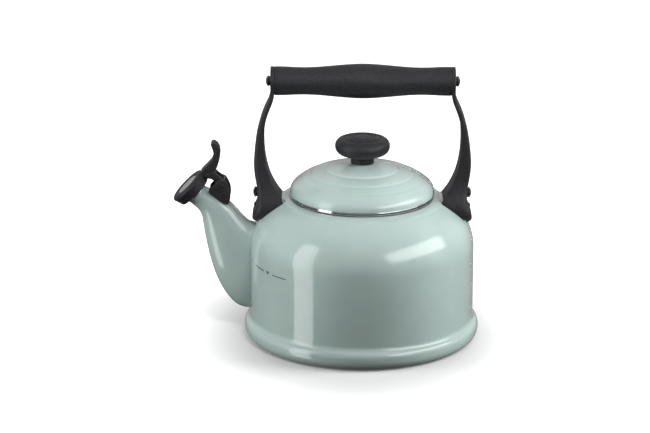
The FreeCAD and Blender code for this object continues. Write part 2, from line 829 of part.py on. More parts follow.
def make_mouth_seal():
    """The soft ring that closes the cap on the spout's mouth."""
    proud = 0.2
    return turned("mouth_seal", [
        (size.seal_bore, proud),
        (size.seal_radius, proud),
        (size.seal_radius, size.rear_plate),
        (size.seal_bore, size.rear_plate),
    ], mouth_place())


def make_lip_ring():
    """The steel ring on the mouth of the spout."""
    low = -size.seat_gap - size.lip_height
    return turned("spout_lip_ring", [
        (size.lip_bore, low),
        (size.lip_radius - 0.6, low),
        (size.lip_radius, low + 0.6, 0.6),
        (size.lip_radius - 0.6, -size.seat_gap, 0.9),
        (size.lip_bore, -size.seat_gap),
    ], mouth_place())


def make_hinge_pin():
    """The hinge pin, headed at both ends outside the cheeks."""
    reach = size.cheek_inside + size.cheek_thick
    head = size.pin_radius + 0.7
    return turned("hinge_pin", [
        (0, -reach - 0.7),
        (head - 0.3, -reach - 0.7),
        (head, -reach, 0.9),
        (size.pin_radius, -reach),
        (size.pin_radius, reach),
        (head, reach),
        (head - 0.3, reach + 0.7, 0.9),
        (0, reach + 0.7),
    ], at(size.hinge_x.value, 0, size.hinge_z.value, *ALONG_Y))


def make_hinge_spring():
    """The torsion spring round the pin: a coil between the knuckles, one leg up and one down."""
    wire = size.wire_radius.value
    turns = 5
    pitch = 1.05
    width = turns * pitch
    upper_leg = 7.5
    lower_leg = 9.0
    helix = Part.makeHelix(pitch, width, size.coil_radius.value)
    coil = helix.Edges[0]
    first = coil.valueAt(coil.FirstParameter)
    last = coil.valueAt(coil.LastParameter)
    along = coil.tangentAt(coil.FirstParameter)
    tip = first - along * upper_leg
    legs = [Part.makeLine(tip, first), Part.makeLine(last, last + along * lower_leg)]
    path = Part.Wire([legs[0]] + helix.Edges + [legs[1]])
    ring = Part.Wire(Part.makeCircle(wire, tip, along))
    spring = document.addObject("Part::Feature", "hinge_spring")
    spring.Shape = path.makePipeShell([ring], True, True)
    spring.Placement = at(size.hinge_x.value, -width / 2, size.hinge_z.value, *ALONG_Y)
    return spring


def make_bracket_rivet():
    """The rivet that holds the bracket's floor on the spout."""
    return screw("bracket_rivet", size.rivet_radius, size.rivet_length, size.rivet_head,
                 size.rivet_head_height, rivet_place())


# ---------------------------------------------------------------------------------------- assembly
def build():
    """Builds every sub-part and returns them by the name of their node."""
    envelope = make_envelope()
    pieces = {"base_pan": make_base_pan(), "body_shell": make_body_shell()}
    spout = spout_solid("spout_outside", 0)
    passage = spout_solid("spout_passage", size.wall)
    pieces["spout"] = cut("spout", spout, [passage, envelope, rivet_bore("spout_rivet_hole")])
    pieces["spout_lip_ring"] = make_lip_ring()
    pieces.update(make_handle(envelope, spout))
    pieces["lid_shell"] = make_lid_shell()
    pieces["lid_band"] = make_lid_band()
    pieces["knob"] = make_knob()
    pieces["knob_insert"] = make_knob_insert()
    pieces["knob_washer"] = make_knob_washer()
    head_seat = size.lid_crown - size.wall - size.knob_washer_thick
    pieces["knob_screw"] = screw(
        "knob_screw", size.thread_radius, size.knob_screw_length, size.knob_screw_head,
        size.knob_screw_height, at(0, 0, head_seat.value, (1, 0, 0), 180))
    pieces["hinge_bracket"] = make_bracket(spout)
    pieces["bracket_rivet"] = make_bracket_rivet()
    pieces["hinge_pin"] = make_hinge_pin()
    pieces["hinge_spring"] = make_hinge_spring()
    pieces["whistle_cap"] = make_whistle_cap()
    pieces["whistle_rear_plate"] = whistle_plate("whistle_rear_plate", size.rear_plate.value)
    pieces["whistle_front_plate"] = whistle_plate("whistle_front_plate", size.front_plate.value)
    pieces["mouth_seal"] = make_mouth_seal()
    return pieces


def check_document():
    """Stops if any object of the document failed to recompute."""
    for item in document.Objects:
        for state in ("Invalid", "Error"):
            if state in item.State:
                raise RuntimeError("%s is %s" % (item.Label, state))


def export(pieces):
    """Checks each sub-part's shape and writes it to its own STEP file."""
    os.makedirs("parts", exist_ok=True)
    for name, piece in pieces.items():
        piece.Label = name
        shape = piece.Shape
        if shape.isNull() or not shape.isValid() or not shape.Solids:
            raise RuntimeError("%s has no valid solid" % name)
        print("%-22s %d solid(s) %10.1f mm3" % (name, len(shape.Solids), shape.Volume))
        shape.exportStep("parts/%s.step" % name)


def main():
    pieces = build()
    document.recompute()
    check_document()
    export(pieces)


main()
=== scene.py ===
"""A stovetop whistling kettle in sage enamel with black mouldings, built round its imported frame."""

import json
import logging
import math
from dataclasses import dataclass, field
from enum import Enum
from typing import ClassVar

import bmesh
import bpy
from mathutils import Matrix, Vector


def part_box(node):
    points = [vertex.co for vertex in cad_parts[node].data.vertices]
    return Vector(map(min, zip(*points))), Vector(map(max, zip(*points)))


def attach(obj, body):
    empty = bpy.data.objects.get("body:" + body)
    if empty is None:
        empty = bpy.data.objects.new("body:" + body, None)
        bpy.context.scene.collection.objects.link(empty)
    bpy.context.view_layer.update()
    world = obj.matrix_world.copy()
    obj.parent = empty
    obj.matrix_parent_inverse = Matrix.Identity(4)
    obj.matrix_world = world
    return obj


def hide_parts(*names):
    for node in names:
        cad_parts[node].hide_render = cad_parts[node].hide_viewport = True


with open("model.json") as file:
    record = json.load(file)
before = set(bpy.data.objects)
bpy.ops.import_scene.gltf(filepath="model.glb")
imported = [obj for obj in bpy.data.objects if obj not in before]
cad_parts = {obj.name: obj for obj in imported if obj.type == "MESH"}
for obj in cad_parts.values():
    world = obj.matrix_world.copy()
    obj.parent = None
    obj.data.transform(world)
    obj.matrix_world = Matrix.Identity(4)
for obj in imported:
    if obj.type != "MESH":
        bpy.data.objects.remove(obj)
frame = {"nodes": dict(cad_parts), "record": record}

LOG = logging.getLogger("kettle")
MM = 0.001
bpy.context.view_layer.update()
TURN_STEPS = 144
FINE_STEPS = 96
SMALL_STEPS = 48
BORE_STEPS = 32
SHARP = 0.01

KETTLE = "kettle"
LID = "lid"
FLAP = "whistle_flap"

Piece = bpy.types.Object
Socket = bpy.types.NodeSocket
Point = tuple[float, float]
Place = tuple[float, float, float]
Colour = tuple[float, float, float]
Stops = tuple[tuple[float, float], ...]


class Side(Enum):
    """The two ends of the handle: the spout's end and the far end."""

    FRONT = -1
    REAR = 1

    @property
    def word(self) -> str:
        """The word that the pieces of this side carry in their names."""
        return self.name.lower()


class Slot(Enum):
    """The record's material slots."""

    ENAMEL = "sage_enamel"
    MOULDING = "black_phenolic"
    BLACK_STEEL = "black_steel"
    POLISHED = "polished_steel"
    ZINC = "zinc_steel"
    BRASS = "brass"
    WHISTLE = "whistle_steel"
    SILICONE = "silicone"


def from_frame(node: str, axis: str, share: float = 1.0) -> float:
    """A dataclass field in millimetres that is read from a node's box in the frame.

    Args:
        node: The frame's node.
        axis: The axis: x, y or z.
        share: How far it lies from the box's low end, 0, to its high end, 1.

    Returns:
        The field.
    """
    def read() -> float:
        """Reads the size when the assembly is made."""
        low, high = (getattr(corner, axis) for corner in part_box(node))
        return round((low * (1 - share) + high * share) / MM, 2)

    return field(default_factory=read)


# ---- outlines
class Outline:
    """A flat outline in millimetres, drawn with lines, arcs and curves from a first point."""

    def __init__(self, x: float, y: float) -> None:
        """Starts the outline.

        Args:
            x: The first point's radius or X.
            y: The first point's height.
        """
        self.points: list[Point] = [(x, y)]

    def line(self, x: float, y: float) -> "Outline":
        """Adds a straight side to (x, y)."""
        self.points.append((x, y))
        return self

    def arc(self, x: float, y: float, radius: float, cuts: int = 8) -> "Outline":
        """Adds the short arc to (x, y).

        Args:
            x: The end's radius or X.
            y: The end's height.
            radius: The arc's radius; positive turns left and negative turns right.
            cuts: How many straight pieces stand for the arc.

        Returns:
            The outline itself.
        """
        start = Vector(self.points[-1])
        end = Vector((x, y))
        chord = end - start
        half = chord.length / 2
        reach = max(abs(radius), half)
        depth = math.sqrt(max(reach * reach - half * half, 0.0))
        left = Vector((-chord.y, chord.x)).normalized()
        centre = (start + end) / 2 + left * math.copysign(depth, radius)
        first = math.atan2(start.y - centre.y, start.x - centre.x)
        sweep = 2 * math.asin(min(1.0, half / reach)) * math.copysign(1, radius)
        for step in range(1, cuts + 1):
            angle = first + sweep * step / cuts
            self.points.append((centre.x + reach * math.cos(angle),
                                centre.y + reach * math.sin(angle)))
        return self

    def curve(self, through: list[Point], cuts: int = 5) -> "Outline":
        """Adds a smooth curve from the last point through more points.

        Args:
            through: The points, of which the last is the curve's end.
            cuts: How many straight pieces lie between two points.

        Returns:
            The outline itself.
        """
        knots = [self.points[-1]] + list(through)
        self.points.extend(smooth_run(knots, cuts)[1:])
        return self


def smooth_run(knots: list[tuple], cuts: int) -> list[tuple]:
    """Points of a smooth run through its knots.

    Args:
        knots: The points that the run passes through, each a tuple of numbers.
        cuts: How many pieces lie between two knots.

    Returns:
        The points of the run, its knots among them.
    """
    run = [tuple(knots[0])]
    for index in range(len(knots) - 1):
        before = Vector(knots[max(index - 1, 0)])
        start = Vector(knots[index])
        end = Vector(knots[index + 1])
        after = Vector(knots[min(index + 2, len(knots) - 1)])
        for step in range(1, cuts + 1):
            t = step / cuts
            point = (start * 2 + (end - before) * t
                     + (before * 2 - start * 5 + end * 4 - after) * t ** 2
                     + (start * 3 - before - end * 3 + after) * t ** 3) / 2
            run.append(tuple(point))
    return run


# ---- bench tools
def put_down() -> None:
    """Leaves edit mode and lets go of everything that is selected."""
    if bpy.context.object is not None and bpy.context.object.mode != "OBJECT":
        bpy.ops.object.mode_set(mode="OBJECT")
    bpy.ops.object.select_all(action="DESELECT")


def pick(piece: Piece) -> None:
    """Selects one piece and makes it active."""
    put_down()
    piece.select_set(True)
    bpy.context.view_layer.objects.active = piece


def edit(piece: Piece) -> None:
    """Opens a piece in edit mode with all of it selected."""
    pick(piece)
    bpy.ops.object.mode_set(mode="EDIT")
    bpy.ops.mesh.select_all(action="SELECT")


def modify(piece: Piece, kind: str, **settings: object) -> None:
    """Adds one modifier to a piece and applies it.

    Args:
        piece: The piece.
        kind: The modifier's type.
        **settings: The modifier's own settings.
    """
    pick(piece)
    modifier = piece.modifiers.new(kind.lower(), kind)
    for name, value in settings.items():
        setattr(modifier, name, value)
    bpy.ops.object.modifier_apply(modifier=modifier.name)


def soften(piece: Piece, degrees: float = 38.0) -> None:
    """Shades a piece smooth, apart from the edges that are sharper than some degrees."""
    pick(piece)
    bpy.ops.object.shade_smooth_by_angle(angle=math.radians(degrees))
    put_down()


def clean(piece: Piece) -> None:
    """Merges doubled corners, drops loose edges and turns the faces outwards."""
    edit(piece)
    bpy.ops.mesh.remove_doubles(threshold=1e-6)
    bpy.ops.mesh.delete_loose(use_verts=True, use_edges=True, use_faces=False)
    bpy.ops.mesh.select_all(action="SELECT")
    bpy.ops.mesh.normals_make_consistent(inside=False)
    put_down()


def new_ring(name: str, corners: list[Vector]) -> Piece:
    """A closed loop of edges, from a circle whose corners are moved to their places.

    Args:
        name: The new object's name.
        corners: The loop's corners in order, in metres.

    Returns:
        The new object.
    """
    put_down()
    bpy.ops.mesh.primitive_circle_add(vertices=len(corners), radius=MM, location=(0, 0, 0))
    piece = bpy.context.object
    piece.name = name
    piece.data.name = name
    for vertex, corner in zip(piece.data.vertices, corners):
        vertex.co = corner
    return piece


def lathe(name: str, outline: Outline, place: Matrix = Matrix.Identity(4),
          angle: float = math.tau, steps: int = TURN_STEPS) -> Piece:
    """A closed outline of (radius, height) turned about Z, then set in its place.

    Args:
        name: The piece's name.
        outline: The closed outline in millimetres.
        place: Where the turned piece goes.
        angle: How far it is turned.
        steps: How many steps the turn has.

    Returns:
        The finished piece.
    """
    piece = new_ring(name, [Vector((x, 0, y)) * MM for x, y in outline.points])
    edit(piece)
    if angle < math.tau:
        bpy.ops.mesh.edge_face_add()
        bpy.ops.mesh.select_all(action="SELECT")
    bpy.ops.mesh.spin(steps=steps, angle=angle, center=(0, 0, 0), axis=(0, 0, 1))
    clean(piece)
    piece.data.transform(place)
    soften(piece)
    return piece


def slab(name: str, outline: Outline, low: float, high: float, rounding: float = 0.6) -> Piece:
    """A plate with an outline in the XZ plane, extruded along Y and rounded at its edges.

    Args:
        name: The piece's name.
        outline: The closed outline in millimetres.
        low: Where it starts along Y, in millimetres.
        high: Where it ends along Y, in millimetres.
        rounding: The radius of its rounded edges, in millimetres.

    Returns:
        The finished piece.
    """
    piece = new_ring(name, [Vector((x, low, y)) * MM for x, y in outline.points])
    edit(piece)
    bpy.ops.mesh.edge_face_add()
    bpy.ops.mesh.extrude_region_move(TRANSFORM_OT_translate={"value": (0, (high - low) * MM, 0)})
    clean(piece)
    modify(piece, "BEVEL", width=rounding * MM, segments=4, limit_method="ANGLE",
           angle_limit=math.radians(50), use_clamp_overlap=True)
    soften(piece)
    return piece


def loft(name: str, rings: list[list[Vector]]) -> Piece:
    """A closed skin through rings that all have the same number of corners.

    Args:
        name: The piece's name.
        rings: The rings in order, their corners in metres.

    Returns:
        The piece, not yet shaded.
    """
    piece = new_ring(name, rings[0])
    edit(piece)
    count = len(rings[0])
    for ring in rings[1:]:
        bpy.ops.mesh.extrude_region_move()
        mesh = bmesh.from_edit_mesh(piece.data)
        mesh.verts.ensure_lookup_table()
        for vertex, corner in zip(mesh.verts[-count:], ring):
            vertex.co = corner
        bmesh.update_edit_mesh(piece.data)
    bpy.ops.mesh.edge_face_add()
    mesh = bmesh.from_edit_mesh(piece.data)
    mesh.verts.ensure_lookup_table()
    for edge in mesh.edges:
        edge.select = edge.verts[0].index < count and edge.verts[1].index < count
    bpy.ops.mesh.select_mode(type="EDGE")
    bpy.ops.mesh.edge_face_add()
    bpy.ops.mesh.select_mode(type="VERT")
    clean(piece)
    return piece


def combine(piece: Piece, other: Piece, operation: str) -> None:
    """Cuts or joins a piece with another solid, which is used up.

    Args:
        piece: The piece that stays.
        other: The solid that is used up.
        operation: The boolean operation.
    """
    modify(piece, "BOOLEAN", object=other, operation=operation, solver="EXACT")
    bpy.data.objects.remove(other, do_unlink=True)


def carve(piece: Piece, cutter: Piece) -> None:
    """Takes a solid out of a piece."""
    combine(piece, cutter, "DIFFERENCE")


def weld(piece: Piece, part: Piece) -> None:
    """Joins an overlapping solid to a piece."""
    combine(piece, part, "UNION")


def block(name: str, low: Place, high: Place) -> Piece:
    """A plain block between two corners in millimetres, used only to cut with."""
    centre = [(a + b) / 2 * MM for a, b in zip(low, high)]
    span = [(b - a) * MM for a, b in zip(low, high)]
    put_down()
    bpy.ops.mesh.primitive_cube_add(size=1, location=centre, scale=span)
    piece = bpy.context.object
    piece.name = name
    pick(piece)
    bpy.ops.object.transform_apply(location=True, rotation=True, scale=True)
    return piece


def twin(piece: Piece, name: str, place: Matrix) -> Piece:
    """A copy of a piece with its own mesh, set in another place.

    Args:
        piece: The piece that is copied.
        name: The copy's name.
        place: The move from the piece's own mesh to the copy's.

    Returns:
        The copy.
    """
    pick(piece)
    bpy.ops.object.duplicate()
    copy = bpy.context.object
    copy.name = name
    copy.data.name = name
    copy.data.transform(place)
    if place.determinant() < 0:
        clean(copy)
    soften(copy)
    return copy


def placed(x: float, y: float, z: float, turn: float = 0.0, axis: str = "Y") -> Matrix:
    """A place in millimetres, turned by degrees about one axis."""
    return Matrix.Translation(Vector((x, y, z)) * MM) @ Matrix.Rotation(math.radians(turn), 4, axis)


# ---- finishes
class Tree:
    """A node tree whose nodes are added and joined by name."""

    def __init__(self, tree: bpy.types.NodeTree) -> None:
        """Keeps the node tree at hand."""
        self.tree = tree

    def add(self, kind: str, **inputs: object) -> bpy.types.Node:
        """Adds one node and sets its inputs by name."""
        node = self.tree.nodes.new(kind)
        for name, value in inputs.items():
            node.inputs[name.replace("_", " ")].default_value = value
        return node

    def vector_math(self, operation: str) -> bpy.types.Node:
        """Adds a node of vector arithmetic."""
        node = self.add("ShaderNodeVectorMath")
        node.operation = operation
        return node

    def join(self, source: Socket, target: Socket) -> None:
        """Links an output to an input."""
        self.tree.links.new(source, target)

    def ramp(self, factor: Socket, *stops: tuple[float, Colour]) -> Socket:
        """A colour that changes with a factor.

        Args:
            factor: The factor.
            *stops: Each place along the ramp and the colour there.

        Returns:
            The colour.
        """
        node = self.add("ShaderNodeValToRGB")
        elements = node.color_ramp.elements
        for place, _ in stops[2:]:
            elements.new(place)
        for element, (place, colour) in zip(elements, stops):
            element.position = place
            element.color = (*colour, 1)
        self.join(factor, node.inputs["Fac"])
        return node.outputs["Color"]

    def greys(self, factor: Socket, stops: Stops) -> Socket:
        """A grey that changes with a factor."""
        return self.ramp(factor, *((place, (grey,) * 3) for place, grey in stops))


class Nodes(Tree):
    """The nodes of one material: a surface shader and the patterns that feed it."""

    def __init__(self, name: str) -> None:
        """Makes a material that has only its surface shader."""
        self.material = bpy.data.materials.new(name)
        self.material.use_nodes = True
        super().__init__(self.material.node_tree)
        self.tree.nodes.clear()
        self.shader = self.add("ShaderNodeBsdfPrincipled")
        output = self.add("ShaderNodeOutputMaterial")
        self.join(self.shader.outputs["BSDF"], output.inputs["Surface"])
        self.place = self.add("ShaderNodeTexCoord").outputs["Object"]

    def set(self, **inputs: object) -> None:
        """Sets even values on the shader's own sockets."""
        for name, value in inputs.items():
            self.shader.inputs[name.replace("_", " ")].default_value = value

    def noise(self, scale: float, detail: float = 2.0, vector: Socket | None = None) -> Socket:
        """A noise pattern in the object's own coordinates."""
        node = self.add("ShaderNodeTexNoise", Scale=scale, Detail=detail)
        self.join(vector or self.place, node.inputs["Vector"])
        return node.outputs["Fac"]

    def blend(self, factor: Socket, low: Colour, high: Colour,
              start: float = 0.3, end: float = 0.7) -> Socket:
        """A colour between two, by a factor."""
        return self.ramp(factor, (start, low), (end, high))

    def span(self, factor: Socket, low: float, high: float) -> Socket:
        """A value between two, by a factor."""
        node = self.add("ShaderNodeMapRange", To_Min=low, To_Max=high, From_Min=0.25, From_Max=0.75)
        self.join(factor, node.inputs["Value"])
        return node.outputs["Result"]

    def bump(self, height: Socket, strength: float, distance: float,
             under: Socket | None = None) -> Socket:
        """A relief on the surface, on top of another if one is given."""
        node = self.add("ShaderNodeBump", Strength=strength, Distance=distance)
        self.join(height, node.inputs["Height"])
        if under is not None:
            self.join(under, node.inputs["Normal"])
        self.join(node.outputs["Normal"], self.shader.inputs["Normal"])
        return node.outputs["Normal"]

    def feed(self, name: str, source: Socket) -> None:
        """Links a pattern to one of the shader's sockets."""
        self.join(source, self.shader.inputs[name])


@dataclass(frozen=True)
class Enamel:
    """Glossy vitreous enamel with a faint mottle and the soft ripple of a fired coat."""

    pale: Colour = (0.312, 0.391, 0.369)
    deep: Colour = (0.288, 0.366, 0.344)
    smooth: float = 0.11
    rough: float = 0.16
    mottle_scale: float = 38.0
    gloss_scale: float = 420.0
    ripple_scale: float = 120.0
    ripple_height: float = 0.0004
    grain_scale: float = 1500.0
    grain_height: float = 0.0001

    def make(self) -> bpy.types.Material:
        """Returns the material."""
        nodes = Nodes("fired_enamel")
        mottle = nodes.noise(self.mottle_scale, 4)
        nodes.feed("Base Color", nodes.blend(mottle, self.deep, self.pale))
        nodes.feed("Roughness", nodes.span(nodes.noise(self.gloss_scale), self.smooth, self.rough))
        nodes.set(IOR=1.5, Coat_Weight=1.0, Coat_Roughness=0.03, Coat_IOR=1.5)
        ripple = nodes.bump(nodes.noise(self.ripple_scale, 1), 0.05, self.ripple_height)
        nodes.bump(nodes.noise(self.grain_scale, 1), 0.03, self.grain_height, ripple)
        return nodes.material


@dataclass(frozen=True)
class Moulding:
    """Black heat-proof moulding: satin, with a fine grain and a faint grey speckle."""

    dark: Colour = (0.010, 0.010, 0.011)
    pale: Colour = (0.025, 0.025, 0.028)
    smooth: float = 0.44
    rough: float = 0.56
    grain_scale: float = 900.0
    grain_height: float = 0.0002
    gloss_scale: float = 260.0

    def make(self) -> bpy.types.Material:
        """Returns the material."""
        nodes = Nodes("black_moulding")
        grain = nodes.noise(self.grain_scale, 3)
        nodes.feed("Base Color", nodes.blend(grain, self.dark, self.pale, 0.42, 0.72))
        gloss = nodes.noise(self.gloss_scale, 3)
        nodes.feed("Roughness", nodes.span(gloss, self.smooth, self.rough))
        nodes.set(IOR=1.52, Specular_IOR_Level=0.38)
        nodes.bump(grain, 0.12, self.grain_height)
        return nodes.material


@dataclass(frozen=True)
class CoatedSteel:
    """Black-coated steel of the screws: darker and shinier than the moulding."""

    dark: Colour = (0.008, 0.008, 0.009)
    pale: Colour = (0.022, 0.022, 0.024)
    smooth: float = 0.2
    rough: float = 0.36
    wear_scale: float = 600.0
    grain_scale: float = 1400.0
    grain_height: float = 0.0001

    def make(self) -> bpy.types.Material:
        """Returns the material."""
        nodes = Nodes("black_coated_steel")
        wear = nodes.noise(self.wear_scale, 4)
        nodes.feed("Base Color", nodes.blend(wear, self.dark, self.pale))
        nodes.feed("Roughness", nodes.span(wear, self.smooth, self.rough))
        nodes.set(Coat_Weight=1.0, Coat_Roughness=0.08)
        nodes.bump(nodes.noise(self.grain_scale, 2), 0.08, self.grain_height)
        return nodes.material


@dataclass(frozen=True)
class BareMetal:
    """A bare metal with fine turning lines round an axis."""

    name: str
    dark: Colour
    pale: Colour
    smooth: float
    rough: float
    centre: Place = (0.0, 0.0, 0.0)
    tilt: float = 0.0
    line_scale: float = 900.0
    line_strength: float = 0.04
    line_height: float = 0.0001
    cloud_scale: float = 240.0

    def make(self) -> bpy.types.Material:
        """Returns the material."""
        nodes = Nodes(self.name)
        move = nodes.add("ShaderNodeMapping")
        move.vector_type = "TEXTURE"
        move.inputs["Location"].default_value = self.centre
        move.inputs["Rotation"].default_value = (0, math.radians(self.tilt), 0)
        nodes.join(nodes.place, move.inputs["Vector"])
        turned = move.outputs["Vector"]
        lines = nodes.add("ShaderNodeTexWave", Scale=self.line_scale, Distortion=0.6, Detail=2.0)
        lines.wave_type = "RINGS"
        lines.rings_direction = "Z"
        nodes.join(turned, lines.inputs["Vector"])
        cloud = nodes.noise(self.cloud_scale, 4, turned)
        nodes.feed("Base Color", nodes.blend(cloud, self.dark, self.pale))
        nodes.feed("Roughness", nodes.span(cloud, self.smooth, self.rough))
        nodes.set(Metallic=1.0)
        nodes.bump(lines.outputs["Fac"], self.line_strength, self.line_height)
        return nodes.material


@dataclass(frozen=True)
class Silicone:
    """Dark matt silicone of the seal."""

    dark: Colour = (0.02, 0.02, 0.021)
    pale: Colour = (0.035, 0.035, 0.037)
    smooth: float = 0.55
    rough: float = 0.75
    dust_scale: float = 700.0
    dust_height: float = 0.0001

    def make(self) -> bpy.types.Material:
        """Returns the material."""
        nodes = Nodes("dark_silicone")
        dust = nodes.noise(self.dust_scale, 4)
        nodes.feed("Base Color", nodes.blend(dust, self.dark, self.pale))
        nodes.feed("Roughness", nodes.span(dust, self.smooth, self.rough))
        nodes.bump(dust, 0.1, self.dust_height)
        return nodes.material


@dataclass(frozen=True)
class MarkInk:
    """The fired dark line of the fill mark."""

    dark: Colour = (0.02, 0.03, 0.03)
    pale: Colour = (0.035, 0.05, 0.048)
    smooth: float = 0.2
    rough: float = 0.4
    edge_scale: float = 900.0

    def make(self) -> bpy.types.Material:
        """Returns the material."""
        nodes = Nodes("fired_mark")
        edge = nodes.noise(self.edge_scale, 3)
        nodes.feed("Base Color", nodes.blend(edge, self.dark, self.pale))
        nodes.feed("Roughness", nodes.span(edge, self.smooth, self.rough))
        return nodes.material


class Finishes:
    """Every material of the kettle, made once, and the record's slot that each one belongs to."""

    def __init__(self, cap_centre: Vector, cap_tilt: float) -> None:
        """Makes the materials.

        Args:
            cap_centre: The middle of the whistle's front plate, in metres.
            cap_tilt: The tilt of the whistle's axis, in degrees.
        """
        steel = BareMetal("mirror_steel", dark=(0.6, 0.61, 0.63), pale=(0.7, 0.71, 0.72),
                          smooth=0.06, rough=0.14)
        zinc = BareMetal("zinc_plating", dark=(0.5, 0.5, 0.5), pale=(0.64, 0.64, 0.63),
                         smooth=0.25, rough=0.4)
        brass = BareMetal("turned_brass", dark=(0.6, 0.43, 0.17), pale=(0.75, 0.56, 0.27),
                          smooth=0.2, rough=0.34)
        disc = BareMetal("spun_steel", dark=(0.62, 0.62, 0.63), pale=(0.74, 0.74, 0.75),
                         smooth=0.42, rough=0.56, centre=tuple(cap_centre), tilt=cap_tilt,
                         line_scale=1100.0, line_strength=0.12)
        self.by_slot: dict[Slot, bpy.types.Material] = {
            Slot.ENAMEL: Enamel().make(),
            Slot.MOULDING: Moulding().make(),
            Slot.BLACK_STEEL: CoatedSteel().make(),
            Slot.POLISHED: steel.make(),
            Slot.ZINC: zinc.make(),
            Slot.BRASS: brass.make(),
            Slot.WHISTLE: disc.make(),
            Slot.SILICONE: Silicone().make(),
        }
        self.mark = MarkInk().make()

    def dress(self, piece: Piece, slot: Slot, material: bpy.types.Material | None = None) -> None:
        """Gives a piece its material.

        Args:
            piece: The piece.
            slot: The record's slot.
            material: A material of its own, if it isn't the slot's.
        """
        piece.data.materials.clear()
        piece.data.materials.append(material or self.by_slot[slot])

    def dress_frame(self) -> None:
        """Gives every carried node of the frame the material of its slot."""
        for subpart in frame["record"]["subparts"]:
            node = frame["nodes"][subpart["node"]]
            self.dress(node, Slot(subpart["material_slot"]))


@dataclass
class Assembly:
    """A sub-assembly: it holds its sizes in millimetres and hands its pieces to the frame."""

    body: ClassVar[str] = KETTLE
    finishes: Finishes

    def hand_in(self, piece: Piece, slot: Slot, *nodes: str,
                material: bpy.types.Material | None = None) -> None:
        """Dresses a piece, lets it ride on this body and names the nodes that it stands for.

        Args:
            piece: The finished piece.
            slot: The record's slot.
            *nodes: The frame's nodes that it stands for.
            material: A material of its own, if it isn't the slot's.
        """
        self.finishes.dress(piece, slot, material)
        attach(piece, self.body)
        if nodes:
            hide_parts(*nodes)
        put_down()
        stands_for = ", ".join(nodes) or "itself"
        LOG.info("%-24s %6d faces, for %s", piece.name, len(piece.data.polygons), stands_for)


